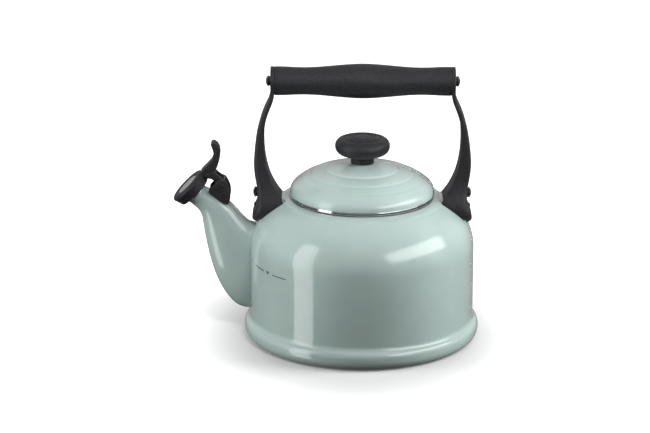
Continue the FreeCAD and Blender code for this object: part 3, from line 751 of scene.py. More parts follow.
# ---- vessel
@dataclass
class Vessel(Assembly):
    """The rolled base, the wall with its shoulder and mouth, and the fill mark."""

    wall: float = 1.2
    base_radius: float = from_frame("base_pan", "x")
    seam: float = from_frame("base_pan", "z")
    radius: float = from_frame("body_shell", "x")
    top: float = from_frame("body_shell", "z")
    shoulder_start: float = 79.0
    shoulder_bend: float = 44.0
    shoulder_end: Point = (81.3, 111.2)
    shoulder_slope: Point = (0.68, 0.73)
    top_bend: float = 90.0
    seat: Point = (68.8, 120.2)
    seat_slope: Point = (0.5, 0.86)
    mouth: float = 58.7
    neck: float = 9.0
    mark_height: float = 71.0
    mark_width: float = 0.85
    mark_arcs: tuple[tuple[float, float], ...] = ((-60.2, -70.2), (-42.2, -52.4))
    mark_middle: float = -56.3
    mark_sunk: float = 0.2
    mark_proud: float = 0.07
    arrow_half: float = 2.4
    arrow_up: float = 1.3
    arrow_down: float = 1.7
    pour_low: float = 36.0
    pour_high: float = 90.0
    pour_half: float = 11.0
    pour_reach: float = 15.0

    def outside(self, grow: float = 0.0) -> Piece:
        """The vessel's outside as one solid, for trimming what stands on it.

        Args:
            grow: How much larger than the wall it is, in millimetres.

        Returns:
            The solid.
        """
        radius, top, low = self.radius + grow, self.top + grow, self.seam - 5
        shoulder, seat = ([place + grow * slope for place, slope in zip(*pair)] for pair in (
            (self.shoulder_end, self.shoulder_slope), (self.seat, self.seat_slope)))
        outline = Outline(0, low).line(radius, low).line(radius, self.shoulder_start)
        outline.arc(*shoulder, self.shoulder_bend + grow, 20).arc(*seat, self.top_bend, 8)
        outline.line(self.seat[0] - 0.6, self.seat[1] + 0.8 + grow)
        outline.line(self.mouth + 2.5, top).line(0, top)
        return lathe("vessel_outside", outline)

    def base(self) -> Piece:
        """The drawn bottom with its rolled edge."""
        rim = self.base_radius
        outline = Outline(0, 0)
        outline.line(rim - 40, 0).line(rim - 7, 0)
        outline.arc(rim, 8.5, 8.66, 12).line(rim, 10).arc(rim - 1.7, 15.2, 8.1, 8)
        outline.arc(self.radius, self.seam, -6.2, 10)
        outline.line(self.radius - self.wall, self.seam)
        outline.arc(rim - 2.32, 14.17, 7.4, 8).arc(rim - self.wall, 10, -6.9, 6)
        outline.line(rim - self.wall, 8.5).arc(rim - 6.8, self.wall, -7.5, 10).line(0, self.wall)
        return lathe("rolled_base", outline)

    def shell(self) -> Piece:
        """The upright wall, the shoulder, the lid's seat and the turned-down mouth."""
        wall = self.wall
        mouth = self.mouth
        neck_end = self.top - self.neck
        seat, high = self.seat
        bend, rise = self.shoulder_end
        outline = Outline(self.radius - wall, self.seam)
        outline.line(self.radius, self.seam).line(self.radius, 40).line(self.radius, 60)
        outline.line(self.radius, self.shoulder_start)
        outline.arc(bend, rise, self.shoulder_bend, 24).arc(seat, high, self.top_bend, 8)
        outline.line(seat - 0.35, high + 0.55).line(seat - 0.8, high + 0.85)
        outline.line(mouth + 2.5, self.top).arc(mouth, self.top - 2.5, 2.5, 8).line(mouth, neck_end)
        outline.line(mouth + wall, neck_end).line(mouth + wall, self.top - 2.6)
        outline.arc(mouth + 2.6, self.top - wall, -1.3, 4)
        outline.line(seat - 1.5, high - 0.1).line(seat - 0.62, high - 1.03)
        outline.arc(bend - 0.82, rise - 0.88, wall - self.top_bend, 8)
        outline.arc(self.radius - wall, self.shoulder_start, wall - self.shoulder_bend, 24)
        shell = lathe("vessel_wall", outline)
        half = self.pour_half
        low, high = self.pour_low + half, self.pour_high - half
        hole = Outline(half, low).line(half, high).arc(0, self.pour_high, half, 6)
        hole.arc(-half, high, half, 6).line(-half, low).arc(0, self.pour_low, half, 6)
        hole.arc(half - 0.05, low - 0.8, half, 6)
        cutter = slab("pouring_hole", hole, self.radius - self.pour_reach,
                      self.radius + self.pour_reach, SHARP)
        cutter.data.transform(Matrix.Rotation(math.radians(90), 4, "Z"))
        carve(shell, cutter)
        soften(shell)
        return shell

    def mark(self) -> Piece:
        """The fill mark: two fine lines round the wall with a small triangle between them."""
        inside = self.radius - self.mark_sunk
        outside = self.radius + self.mark_proud
        low, high = (self.mark_height + side * self.mark_width / 2 for side in (-1, 1))
        line = Outline(inside, low).line(outside, low).line(outside, high).line(inside, high)
        parts = []
        for start, end in self.mark_arcs:
            place = Matrix.Rotation(math.radians(start - 90), 4, "Z")
            parts.append(lathe("fill_mark", line, place, math.radians(start - end), 24))
        up = self.mark_height + self.arrow_up
        tip = Outline(-self.arrow_half, up).line(0, self.mark_height - self.arrow_down)
        arrow = slab("fill_mark_arrow", tip.line(self.arrow_half, up), -outside, -inside, SHARP)
        arrow.data.transform(Matrix.Rotation(math.radians(self.mark_middle), 4, "Z"))
        parts.append(arrow)
        put_down()
        for part in parts:
            part.select_set(True)
        bpy.context.view_layer.objects.active = parts[0]
        bpy.ops.object.join()
        return parts[0]

    def build(self) -> None:
        """Makes and hands in the vessel's pieces."""
        self.hand_in(self.base(), Slot.ENAMEL, "base_pan")
        self.hand_in(self.shell(), Slot.ENAMEL, "body_shell")
        self.hand_in(self.mark(), Slot.ENAMEL, material=self.finishes.mark)


# ---- spout
@dataclass(frozen=True)
class SpoutSection:
    """One section of the spout, from its lower to its upper point (x, z), in millimetres."""

    low: Point
    high: Point
    half_width: float


@dataclass
class Spout(Assembly):
    """The hollow spout and the steel ring on its mouth."""

    vessel: Vessel
    sections: tuple[SpoutSection, ...] = (
        SpoutSection((-146.85, 117.5), (-133.7, 130.65), 9.25),
        SpoutSection((-142.6, 113.9), (-128.0, 128.0), 9.6),
        SpoutSection((-138.4, 109.8), (-121.5, 124.2), 10.4),
        SpoutSection((-136.0, 104.6), (-115.5, 120.2), 11.2),
        SpoutSection((-134.8, 97.0), (-109.6, 114.8), 12.0),
        SpoutSection((-132.8, 84.5), (-102.6, 106.8), 13.0),
        SpoutSection((-129.2, 68.0), (-98.6, 102.6), 13.8),
        SpoutSection((-123.6, 50.2), (-96.0, 100.4), 14.6),
        SpoutSection((-115.0, 34.6), (-93.0, 99.4), 15.2),
        SpoutSection((-104.5, 24.4), (-90.0, 98.5), 15.8),
        SpoutSection((-88.0, 21.4), (-84.0, 98.0), 16.0),
    )
    wall: float = 1.2
    corners: int = 40
    fullness: float = 2.3
    keel: float = 0.16
    round_height: float = 9.5
    full_height: float = 17.5
    root_sunk: float = 0.5

    def rings(self, shrink: float) -> list[list[Vector]]:
        """The spout's sections as rings.

        Args:
            shrink: How much smaller than the outside they are, in millimetres.

        Returns:
            The rings from mouth to root, in metres.
        """
        knots = [(*s.low, *s.high, s.half_width) for s in self.sections]
        rings = []
        for low_x, low_z, high_x, high_z, half_width in smooth_run(knots, 4):
            low = Vector((low_x, 0, low_z))
            high = Vector((high_x, 0, high_z))
            up = (high - low).normalized()
            half_height = (high - low).length / 2 - shrink
            roundness = (half_height - self.round_height) / (self.full_height - self.round_height)
            roundness = min(1.0, max(0.0, roundness))
            power = 2 / (2 + (self.fullness - 2) * roundness)
            ring = []
            for corner in range(self.corners):
                angle = math.tau * corner / self.corners
                along = math.copysign(abs(math.cos(angle)) ** power, math.cos(angle))
                across = math.copysign(abs(math.sin(angle)) ** power, math.sin(angle))
                across *= 1 + self.keel * roundness * along - self.keel * roundness * 0.5
                middle = (low + high) / 2
                offset = up * (half_height * along) + Vector((0, (half_width - shrink) * across, 0))
                ring.append((middle + offset) * MM)
            rings.append(ring)
        return rings

    def solid(self, name: str, shrink: float = 0.0) -> Piece:
        """The spout as a full solid."""
        return loft(name, self.rings(shrink))

    def tube(self) -> Piece:
        """The spout, hollowed out and trimmed where it meets the vessel's wall."""
        tube = self.solid("spout_tube")
        inside = self.rings(self.wall)
        outwards = (inside[0][0] - inside[1][0]) * 0.5
        inside.insert(0, [corner + outwards for corner in inside[0]])
        carve(tube, loft("spout_inside", inside))
        carve(tube, self.vessel.outside(-self.root_sunk))
        clean(tube)
        soften(tube, degrees=45)
        return tube

    def mouth_ring(self, place: Matrix) -> Piece:
        """The steel ring on the mouth."""
        outline = Outline(8.1, -1.8).line(9.6, -1.8).arc(10.2, -1.2, 0.6, 5).arc(9.5, -0.3, 0.9, 6)
        outline.line(8.6, -0.3).arc(8.1, -0.8, 0.5, 4)
        return lathe("mouth_ring", outline, place, steps=72)

    def build(self, place: Matrix) -> None:
        """Makes and hands in the spout's pieces.

        Args:
            place: The place of the mouth's axis.
        """
        self.hand_in(self.tube(), Slot.ENAMEL, "spout")
        self.hand_in(self.mouth_ring(place), Slot.POLISHED, "spout_lip_ring")


# ---- lid
@dataclass
class Lid(Assembly):
    """The stepped lid, its polished band and the knob."""

    body = LID
    radius: float = from_frame("lid_shell", "x")
    crown: float = from_frame("lid_shell", "z")
    edge: float = from_frame("lid_shell", "z", 0.0)
    skirt_low: float = from_frame("lid_band", "z", 0.0)
    skirt_radius: float = 57.0
    bead_low: float = 122.8
    wall: float = 1.2
    knob_radius: float = from_frame("knob", "x")
    knob_top: float = from_frame("knob", "z")
    knob_waist: float = 166.5
    stem_radius: float = 9.85
    bore: float = 4.25
    grooves: tuple[float, ...] = (15.6, 11.8, 8.0)
    groove_half: float = 0.5

    def dome(self) -> Piece:
        """The enamelled lid with its three stepped rings."""
        top = self.crown
        edge = self.radius
        wall = self.wall
        outline = Outline(2.6, top - wall).line(9.9, top - wall)
        outline.line(28.6, top - 5.5).line(31.2, top - 7.0)
        outline.line(42.0, top - 9.6).line(44.4, top - 11.2)
        outline.line(50.8, top - 13.9).line(52.8, top - 15.6).line(55.2, top - 17.4)
        outline.arc(edge - wall, top - 24.6, -9.2, 8).line(edge - wall, self.edge)
        outline.line(edge - 0.3, self.edge).arc(edge, self.edge + 0.4, 0.4, 3)
        outline.line(edge, top - 24.5)
        outline.arc(56.2, top - 16.3, 10.4, 10).curve([(54.4, top - 14.75), (53.0, top - 13.9)], 3)
        for step in (((52.2, 13.55), (50.6, 12.2), (47.2, 10.6), (44.9, 9.75)),
                     ((43.9, 9.45), (42.2, 8.1), (37.0, 6.6), (32.2, 5.6)),
                     ((31.0, 5.35), (29.2, 4.05), (22.0, 2.2), (14.5, 0.75), (10.0, 0))):
            outline.curve([(radius, top - drop) for radius, drop in step], 4)
        outline.line(2.6, top)
        return lathe("lid_dome", outline)

    def band(self) -> Piece:
        """The polished steel band with its rolled bead and its skirt."""
        skirt = self.skirt_radius
        bead = self.radius - 0.4
        outline = Outline(skirt - 0.8, self.skirt_low).line(skirt, self.skirt_low)
        outline.line(skirt, self.bead_low - 0.4).arc(skirt + 0.4, self.bead_low, -0.4, 3)
        outline.line(bead - 1.1, self.bead_low).arc(bead, self.bead_low + 1.1, 1.1, 8)
        outline.line(bead, self.edge - 0.5).line(bead - 0.3, self.edge).line(skirt - 0.8, self.edge)
        return lathe("lid_rim_band", outline)

    def knob(self) -> Piece:
        """The mushroom knob with plain concentric grooves on its top."""
        stem = self.stem_radius
        waist = self.knob_waist
        top = self.knob_top
        outline = Outline(self.bore, self.crown).line(stem - 0.5, self.crown)
        outline.arc(stem, self.crown + 0.5, 0.5, 4).line(stem, waist - 8.6)
        outline.arc(stem + 1.4, waist - 7.2, -1.4, 5).line(16.8, waist - 6.9)
        outline.arc(self.knob_radius, waist, 7.0, 14)
        outline.arc(18.6, top - 1.75, 6.4, 12)
        half = self.groove_half
        for groove in self.grooves:
            height = top - 1.7 * (groove / 18.4) ** 2
            outline.line(groove + 0.95, height - 0.06).line(groove + half, height - half)
            outline.line(groove - half, height - half).line(groove - 0.95, height + 0.02)
        outline.line(4.0, top - 0.1).line(0, top - 0.05)
        outline.line(0, self.crown + 10.5).line(self.bore, self.crown + 10.5)
        return lathe("lid_knob", outline)

    def build(self) -> None:
        """Makes and hands in the lid's pieces."""
        self.hand_in(self.dome(), Slot.ENAMEL, "lid_shell")
        self.hand_in(self.band(), Slot.POLISHED, "lid_band")
        self.hand_in(self.knob(), Slot.MOULDING, "knob")


# ---- handle
@dataclass(frozen=True)
class ArmStation:
    """One level of the arm: its two faces, its half width and its corner radii, in millimetres."""

    height: float
    inner: float
    outer: float
    half_width: float
    outer_round: float
    inner_round: float = 0.6


@dataclass(frozen=True)
class ScrewSize:
    """A screw's head radius, the height of its dome, its shank's radius and its length, in mm."""

    head: float
    dome: float
    shank: float
    length: float


@dataclass
class Handle(Assembly):
    """The grip, its two arms, and their screws and washers."""

    vessel: Vessel
    spout: Spout
    grip_height: float = from_frame("grip", "z", 0.5)
    grip_half: float = from_frame("grip", "x")
    eye_face: float = 77.6
    eye_radius: float = 12.2
    foot_face: float = 88.6
    upper_height: float = 126.0
    lower_height: float = 114.7
    lower_stand: float = 2.0
    grip_screw: ScrewSize = ScrewSize(head=4.9, dome=2.3, shank=2.0, length=17.0)
    upper_screw: ScrewSize = ScrewSize(head=4.9, dome=2.3, shank=2.0, length=12.0)
    lower_screw: ScrewSize = ScrewSize(head=2.5, dome=1.3, shank=1.3, length=12.0)
    recess_reach: float = 0.52
    recess_half: float = 0.11
    recess_depth: float = 1.0
    washer_thick: float = 1.6
    washer_hole: float = 2.1
    washer_rim: float = 4.1
    washer_edge: float = 0.15
    washer_split: float = 0.25
    split_turn: float = 20.0
    bore_radius: float = 2.2
    bore_depth: float = 12.0
    upper_bore: float = 80.0
    lower_bore: float = 84.0
    corner_steps: int = 6
    foot_gap: float = 0.05
    stations: tuple[ArmStation, ...] = (
        ArmStation(216.5, 74.2, 77.6, 10.4, 0.9),
        ArmStation(211.5, 74.5, 77.9, 10.6, 1.0),
        ArmStation(207.0, 75.6, 79.2, 10.8, 1.2),
        ArmStation(202.8, 77.2, 81.1, 11.0, 1.5),
        ArmStation(195.9, 79.8, 84.1, 11.0, 1.9),
        ArmStation(188.9, 81.7, 86.3, 11.0, 2.2),
        ArmStation(181.9, 82.6, 88.2, 11.0, 2.5),
        ArmStation(174.9, 82.9, 89.6, 11.0, 2.8),
        ArmStation(167.9, 82.8, 90.5, 11.0, 3.0),
        ArmStation(161.0, 82.3, 91.2, 11.0, 3.2),
        ArmStation(154.0, 81.3, 91.6, 11.0, 3.4),
        ArmStation(146.8, 79.7, 91.3, 11.2, 3.6),
        ArmStation(139.7, 77.4, 90.4, 11.7, 3.9),
        ArmStation(133.0, 74.4, 89.2, 12.7, 4.2),
        ArmStation(127.0, 71.0, 88.7, 14.2, 4.5),
        ArmStation(121.5, 67.4, 88.7, 16.2, 5.0),
        ArmStation(117.5, 66.7, 89.3, 17.2, 5.6),
        ArmStation(114.5, 66.7, 90.5, 17.4, 6.2),
        ArmStation(111.2, 66.7, 91.9, 16.9, 6.8),
        ArmStation(108.0, 66.7, 92.9, 15.6, 7.0),
        ArmStation(105.6, 66.7, 93.2, 13.7, 6.8),
        ArmStation(103.6, 66.7, 92.9, 11.2, 6.0),
        ArmStation(102.0, 66.7, 91.7, 8.4, 4.8),
        ArmStation(101.1, 66.7, 90.2, 5.4, 3.4),
    )

    def grip(self) -> Piece:
        """The barrel grip, fuller in the middle and at its ends."""
        end = self.grip_half
        side = [(12.05, 65.0), (11.65, 57.0), (11.5, 48.6), (11.85, 39.0), (12.75, 28.0),
                (13.85, 15.5), (14.45, 6.0), (14.6, 0.0)]
        outline = Outline(4.5, -end).line(11.2, -end).arc(12.2, -end + 1.0, 1.0, 5)
        outline.curve([(x, -y) for x, y in side] + side[-2::-1] + [(12.2, end - 1.0)], 4)
        outline.arc(11.2, end, 1.0, 5).line(4.5, end)
        return lathe("grip_barrel", outline, placed(0, 0, self.grip_height, 90))

    def arm_ring(self, station: ArmStation) -> list[Vector]:
        """One level of the arm as a ring with rounded corners.

        Args:
            station: The level.

        Returns:
            The ring's corners in metres.
        """
        outer, inner = station.outer_round, station.inner_round
        x_out, x_in = station.outer - outer, station.inner + inner
        y_out, y_in = station.half_width - outer, station.half_width - inner
        ring = []
        for x, y, first, radius in ((x_out, y_out, 0, outer), (x_in, y_in, 90, inner),
                                    (x_in, -y_in, 180, inner), (x_out, -y_out, 270, outer)):
            for step in range(self.corner_steps + 1):
                angle = math.radians(first + 90 * step / self.corner_steps)
                ring.append(Vector((x + radius * math.cos(angle), y + radius * math.sin(angle),
                                    station.height)) * MM)
        return ring

    def arm(self) -> Piece:
        """The arm on the far side: its strap, its flared foot and the round eye at its top."""
        rows = [(s.height, s.inner, s.outer, s.half_width, s.outer_round, s.inner_round)
                for s in self.stations]
        rings = [self.arm_ring(ArmStation(*row)) for row in smooth_run(rows, 4)]
        arm = loft("rear_arm_moulding", rings)
        carve(arm, self.vessel.outside(self.foot_gap))
        thick = self.eye_face - self.grip_half
        bore, rim = self.bore_radius, self.eye_radius
        eye = Outline(bore, 0).line(rim - 0.5, 0).arc(rim, 0.5, 0.5, 4)
        eye.line(rim, thick - 1.0).arc(rim - 1.0, thick, 1.0, 6).line(bore, thick)
        end = placed(self.grip_half, 0, self.grip_height, 90)
        disc = lathe("arm_eye", eye, end, steps=FINE_STEPS)
        weld(arm, disc)
        drill = Outline(0, 0).line(bore, 0).line(bore, self.bore_depth).line(0, self.bore_depth)
        for start, height in ((self.upper_bore, self.upper_height),
                              (self.lower_bore, self.lower_height)):
            carve(arm, lathe("arm_bore", drill, placed(start, 0, height, 90), steps=BORE_STEPS))
        clean(arm)
        soften(arm, degrees=32)
        return arm

    def screw(self, size: ScrewSize) -> Piece:
        """A dome-headed screw with a cross recess, its head's underside on the origin.

        Args:
            size: The screw's sizes.

        Returns:
            The screw.
        """
        head, dome, shank = size.head, size.dome, size.shank
        crown = (head * head + dome * dome) / (2 * dome)
        outline = Outline(0, -size.length).line(shank - 0.3, -size.length)
        outline.line(shank, 0.3 - size.length).line(shank, 0)
        outline.line(head - 0.15, 0).arc(head, 0.25, 0.3, 2).arc(0, dome, crown, 12)
        screw = lathe("model", outline, steps=SMALL_STEPS)
        reach, half = head * self.recess_reach, head * self.recess_half
        low, high = dome - self.recess_depth, dome + 2
        for x, y in ((reach, half), (half, reach)):
            carve(screw, block("recess", (-x, -y, low), (x, y, high)))
        soften(screw)
        return screw

    def washer(self) -> Piece:
        """A split lock washer that lies on the origin."""
        thick, edge = self.washer_thick, self.washer_edge
        hole, rim = self.washer_hole, self.washer_rim
        outline = Outline(hole, edge).line(hole + edge, 0).line(rim - edge, 0).line(rim, edge)
        outline.line(rim, thick - edge).line(rim - edge, thick).line(hole + edge, thick)
        washer = lathe("model", outline.line(hole, thick - edge), steps=64)
        gap = block("split", (1.5, -self.washer_split, -1), (5, self.washer_split, thick + 1))
        gap.data.transform(Matrix.Rotation(math.radians(self.split_turn), 4, "X"))
        carve(washer, gap)
        soften(washer)
        return washer

    def copies(self, model: Piece, kind: str, finish: str, reach: float, height: float) -> None:
        """Hands in one copy of a fastener at each side.

        Args:
            model: The fastener, made once on the origin.
            kind: The frame's word for it.
            finish: The word that ends the copies' names.
            reach: How far from the middle the copies lie, in millimetres.
            height: Their height in millimetres.
        """
        for side in Side:
            node = side.word + "_" + kind
            place = placed(side.value * reach, 0, height, 90 * side.value)
            self.hand_in(twin(model, node + "_" + finish, place), Slot.BLACK_STEEL, node)

    def fasteners(self) -> None:
        """Makes one of each screw and washer and copies it to its places."""
        on_eye = self.eye_face + self.washer_thick
        on_foot = self.foot_face + self.washer_thick
        low_on_foot = self.foot_face + self.lower_stand
        for kind, size, reach, height in (
                ("grip_screw", self.grip_screw, on_eye, self.grip_height),
                ("upper_screw", self.upper_screw, on_foot, self.upper_height),
                ("lower_screw", self.lower_screw, low_on_foot, self.lower_height)):
            model = self.screw(size)
            self.copies(model, kind, "head", reach, height)
            bpy.data.objects.remove(model, do_unlink=True)
        model = self.washer()
        self.copies(model, "grip_washer", "split", self.eye_face, self.grip_height)
        self.copies(model, "foot_washer", "split", self.foot_face, self.upper_height)
        bpy.data.objects.remove(model, do_unlink=True)

    def build(self) -> None:
        """Makes and hands in the handle's pieces."""
        self.hand_in(self.grip(), Slot.MOULDING, "grip")
        rear = self.arm()
        front = twin(rear, "front_arm_moulding", Matrix.Scale(-1, 4, (1, 0, 0)))
        carve(front, self.spout.solid("spout_outside"))
        soften(front, degrees=32)
        self.hand_in(rear, Slot.MOULDING, "rear_arm")
        self.hand_in(front, Slot.MOULDING, "front_arm")
        self.fasteners()


# ---- whistle
@dataclass
class WhistleSizes:
    """The whistle's sizes in millimetres."""

    cap_x: float = -141.5
    cap_z: float = 125.4
    tilt: float = 45.0
    back_radius: float = 15.2
    front_radius: float = 17.1
    depth: float = 10.3
    plate_radius: float = 10.2
    disc_face: float = 9.6
    disc_seat: float = 7.0
    disc_hole: float = 1.7
    disc_thick: float = 0.8
    mouth_radius: float = 13.2
    mouth_depth: float = 2.0
    chamber_radius: float = 8.0
    chamber_start: float = 2.8
    pin_bore: float = 1.6
    spring_room: float = 11.0
    hinge_x: float = from_frame("hinge_pin", "x", 0.5)
    hinge_z: float = from_frame("hinge_pin", "z", 0.5)
    knuckle_radius: float = 5.2
    knuckle_reach: float = 7.2
    knuckle_gap: float = 3.9
    cheek_inside: float = 7.5
    cheek_thick: float = 2.0
    lever_half: float = 6.2

    @property
    def place(self) -> Matrix:
        """The place of the cap's axis, at the back of the cap."""
        return placed(self.cap_x, 0, self.cap_z, -self.tilt)


@dataclass
class Whistle(Assembly):
    """The whistle cap with its link arm and thumb lever."""

    body = FLAP
    size: WhistleSizes

    def cap(self) -> Piece:
        """The tapered cap with its raised, rounded rim and its stepped bore."""
        size = self.size
        bore = size.plate_radius
        mouth, deep = size.mouth_radius, size.mouth_depth
        outline = Outline(bore, deep).line(mouth, deep).line(mouth, 0.3).line(mouth + 0.3, 0)
        outline.line(size.back_radius - 0.6, 0).arc(size.back_radius, 0.6, 0.6, 4)
        outline.line(size.front_radius - 0.1, size.depth - 3.6)
        outline.arc(size.front_radius - 0.6, size.depth - 0.9, 1.9, 6)
        outline.arc(15.0, size.depth, 2.2, 5)
        outline.line(bore + 1.0, size.depth - 0.3).arc(bore, size.depth - 1.2, 1.0, 4)
        outline.line(bore, size.disc_seat).line(size.chamber_radius, size.disc_seat)
        outline.line(size.chamber_radius, size.chamber_start).line(bore, size.chamber_start)
        return lathe("cap_ring", outline, size.place, steps=FINE_STEPS)

    def link(self) -> Piece:
        """The link arm from the cap to the hinge, with its two knuckles."""
        size = self.size
        x, z = size.hinge_x, size.hinge_z
        outline = Outline(x - 3.6, z + 2.6).curve([(x - 8.6, z + 5.6), (x - 12.8, z + 6.0)], 3)
        outline.line(x - 13.6, z + 9.0).line(x - 6.4, z + 12.6)
        outline.curve([(x - 2.8, z + 8.9), (x + 1.0, z + 6.0)], 3).line(x + 2.6, z + 4.3)
        reach, rim, gap = size.knuckle_reach, size.knuckle_radius, size.knuckle_gap
        link = slab("cap_link", outline, -reach, reach, 0.7)
        barrel = Outline(0, -reach).line(rim - 0.4, -reach).arc(rim, 0.4 - reach, 0.4, 3)
        barrel.line(rim, reach - 0.4).arc(rim - 0.4, reach, 0.4, 3).line(0, reach)
        hinge = placed(x, 0, z, 90, "X")
        weld(link, lathe("knuckle", barrel, hinge, steps=SMALL_STEPS))
        wide = size.spring_room
        room = Outline(0, -gap).line(wide, -gap).line(wide, gap).line(0, gap)
        carve(link, lathe("spring_room", room, hinge, steps=SMALL_STEPS))
        bore = Outline(0, -12).line(size.pin_bore, -12).line(size.pin_bore, 12).line(0, 12)
        carve(link, lathe("pin_bore", bore, hinge, steps=BORE_STEPS))
        soften(link)
        return link

    def lever(self) -> Piece:
        """The curled thumb lever that grows out of the cap's rim."""
        size = self.size
        x, z = size.hinge_x, size.hinge_z
        outline = Outline(x - 16.4, z + 6.6).line(x - 11.2, z + 5.6).line(x - 8.4, z + 9.6)
        outline.curve([(x - 4.6, z + 13.6), (x - 2.3, z + 19.2), (x - 0.9, z + 25.4),
                       (x - 1.1, z + 31.0), (x - 3.0, z + 35.0), (x - 5.2, z + 36.6)], 5)
        outline.arc(x - 8.7, z + 35.2, 2.3, 7)
        outline.curve([(x - 7.4, z + 31.6), (x - 6.5, z + 27.4), (x - 7.6, z + 22.4),
                       (x - 10.8, z + 18.2), (x - 14.3, z + 14.6), (x - 17.4, z + 11.2)], 5)
        return slab("thumb_lever", outline, -size.lever_half, size.lever_half, 0.9)

    def disc(self) -> Piece:
        """The pressed front disc with its small hole, its face just below the cap's rim."""
        size = self.size
        face = size.disc_face
        hole = size.disc_hole
        edge = size.plate_radius - 0.05
        thick = size.disc_thick
        outline = Outline(hole, face - thick).line(edge - thick, face - thick)
        outline.line(edge - thick, size.disc_seat).line(edge, size.disc_seat)
        outline.line(edge, face - 0.5).arc(edge - 0.5, face, 0.5, 5)
        outline.line(7.6, face).arc(7.0, face, -0.5, 4)
        outline.line(hole + 0.4, face).arc(hole, face - 0.4, 0.4, 4)
        return lathe("whistle_disc", outline, size.place, steps=FINE_STEPS)

    def build(self) -> None:
        """Makes the cap's moulding as one piece and the disc in it, and hands them in."""
        cap = self.cap()
        link = self.link()
        lever = self.lever()
        weld(cap, link)
        weld(cap, lever)
        size = self.size
        bore, mouth, chamber = size.plate_radius, size.mouth_radius, size.chamber_radius
        inside = Outline(0, -3).line(mouth, -3).line(mouth, size.mouth_depth)
        inside.line(bore, size.mouth_depth)
        inside.line(bore, size.chamber_start).line(chamber, size.chamber_start)
        inside.line(chamber, size.disc_seat).line(bore, size.disc_seat).line(bore, size.depth - 1.2)
        inside.line(bore + 1.0, size.depth - 0.3).line(bore + 1.0, 14.0).line(0, 14.0)
        carve(cap, lathe("cap_inside", inside, size.place, steps=FINE_STEPS))
        cap.name = "whistle_cap_moulding"
        cap.data.name = cap.name
        clean(cap)
        soften(cap, degrees=34)
        self.hand_in(cap, Slot.MOULDING, "whistle_cap")
        self.hand_in(self.disc(), Slot.WHISTLE, "whistle_front_plate")


@dataclass
class Bracket(Assembly):
    """The two-cheeked hinge bracket on the spout."""

    size: WhistleSizes
    spout: Spout

    def build(self) -> None:
        """Makes the bracket and hands it in."""
        size = self.size
        x, z = size.hinge_x, size.hinge_z
        outer = size.cheek_inside + size.cheek_thick
        outline = Outline(x - 9.5, z - 3.0).arc(x - 9.2, z - 5.9, 1.9, 5).line(x - 1.8, z - 13.0)
        outline.curve([(x + 1.0, z - 15.0), (x + 4.0, z - 16.0)], 3).arc(x + 6.9, z - 13.8, 2.3, 6)
        outline.curve([(x + 7.8, z - 9.5), (x + 7.5, z - 4.8), (x + 6.1, z - 0.2),
                       (x + 4.3, z + 3.2)], 4)
        outline.arc(x - 3.2, z + 4.5, 4.9, 8)
        bracket = slab("hinge_cheeks", outline, -outer, outer, 0.9)
        room = Outline(x - 14.0, z + 0.9).line(x + 14.0, z - 19.1).line(x + 14.0, z + 12.0)
        room.line(x - 14.0, z + 12.0)
        carve(bracket, slab("bracket_room", room, -size.cheek_inside, size.cheek_inside, 0.3))
        carve(bracket, self.spout.solid("spout_outside", -0.05))
        clean(bracket)
        soften(bracket, degrees=30)
        self.hand_in(bracket, Slot.MOULDING, "hinge_bracket")


# ---- studio
class Use(Enum):
    """What a soft box is for: light that falls on the kettle, or a reflection in it."""

    FILL = "fill"
    REFLECTION = "reflection"


@dataclass(frozen=True)
class SoftBox:
    """A soft rectangular light aimed at the kettle."""

    name: str
    place: Place
    aim: Place
    width: float
    height: float
    power: float
    use: Use
    spread: float = 180.0

    def hang(self) -> None:
        """Makes the light and hangs it in its place."""
        lamp = bpy.data.lights.new(self.name, "AREA")
        lamp.shape = "RECTANGLE"
        lamp.size = self.width
        lamp.size_y = self.height
        lamp.energy = self.power
        lamp.spread = math.radians(self.spread)
        light = bpy.data.objects.new(self.name, lamp)
        bpy.context.scene.collection.objects.link(light)
        light.location = self.place
        direction = Vector(self.aim) - Vector(self.place)
        light.rotation_euler = direction.to_track_quat("-Z", "Y").to_euler()
        light.visible_camera = False
        light.visible_diffuse = self.use is Use.FILL
        light.visible_glossy = self.use is Use.REFLECTION


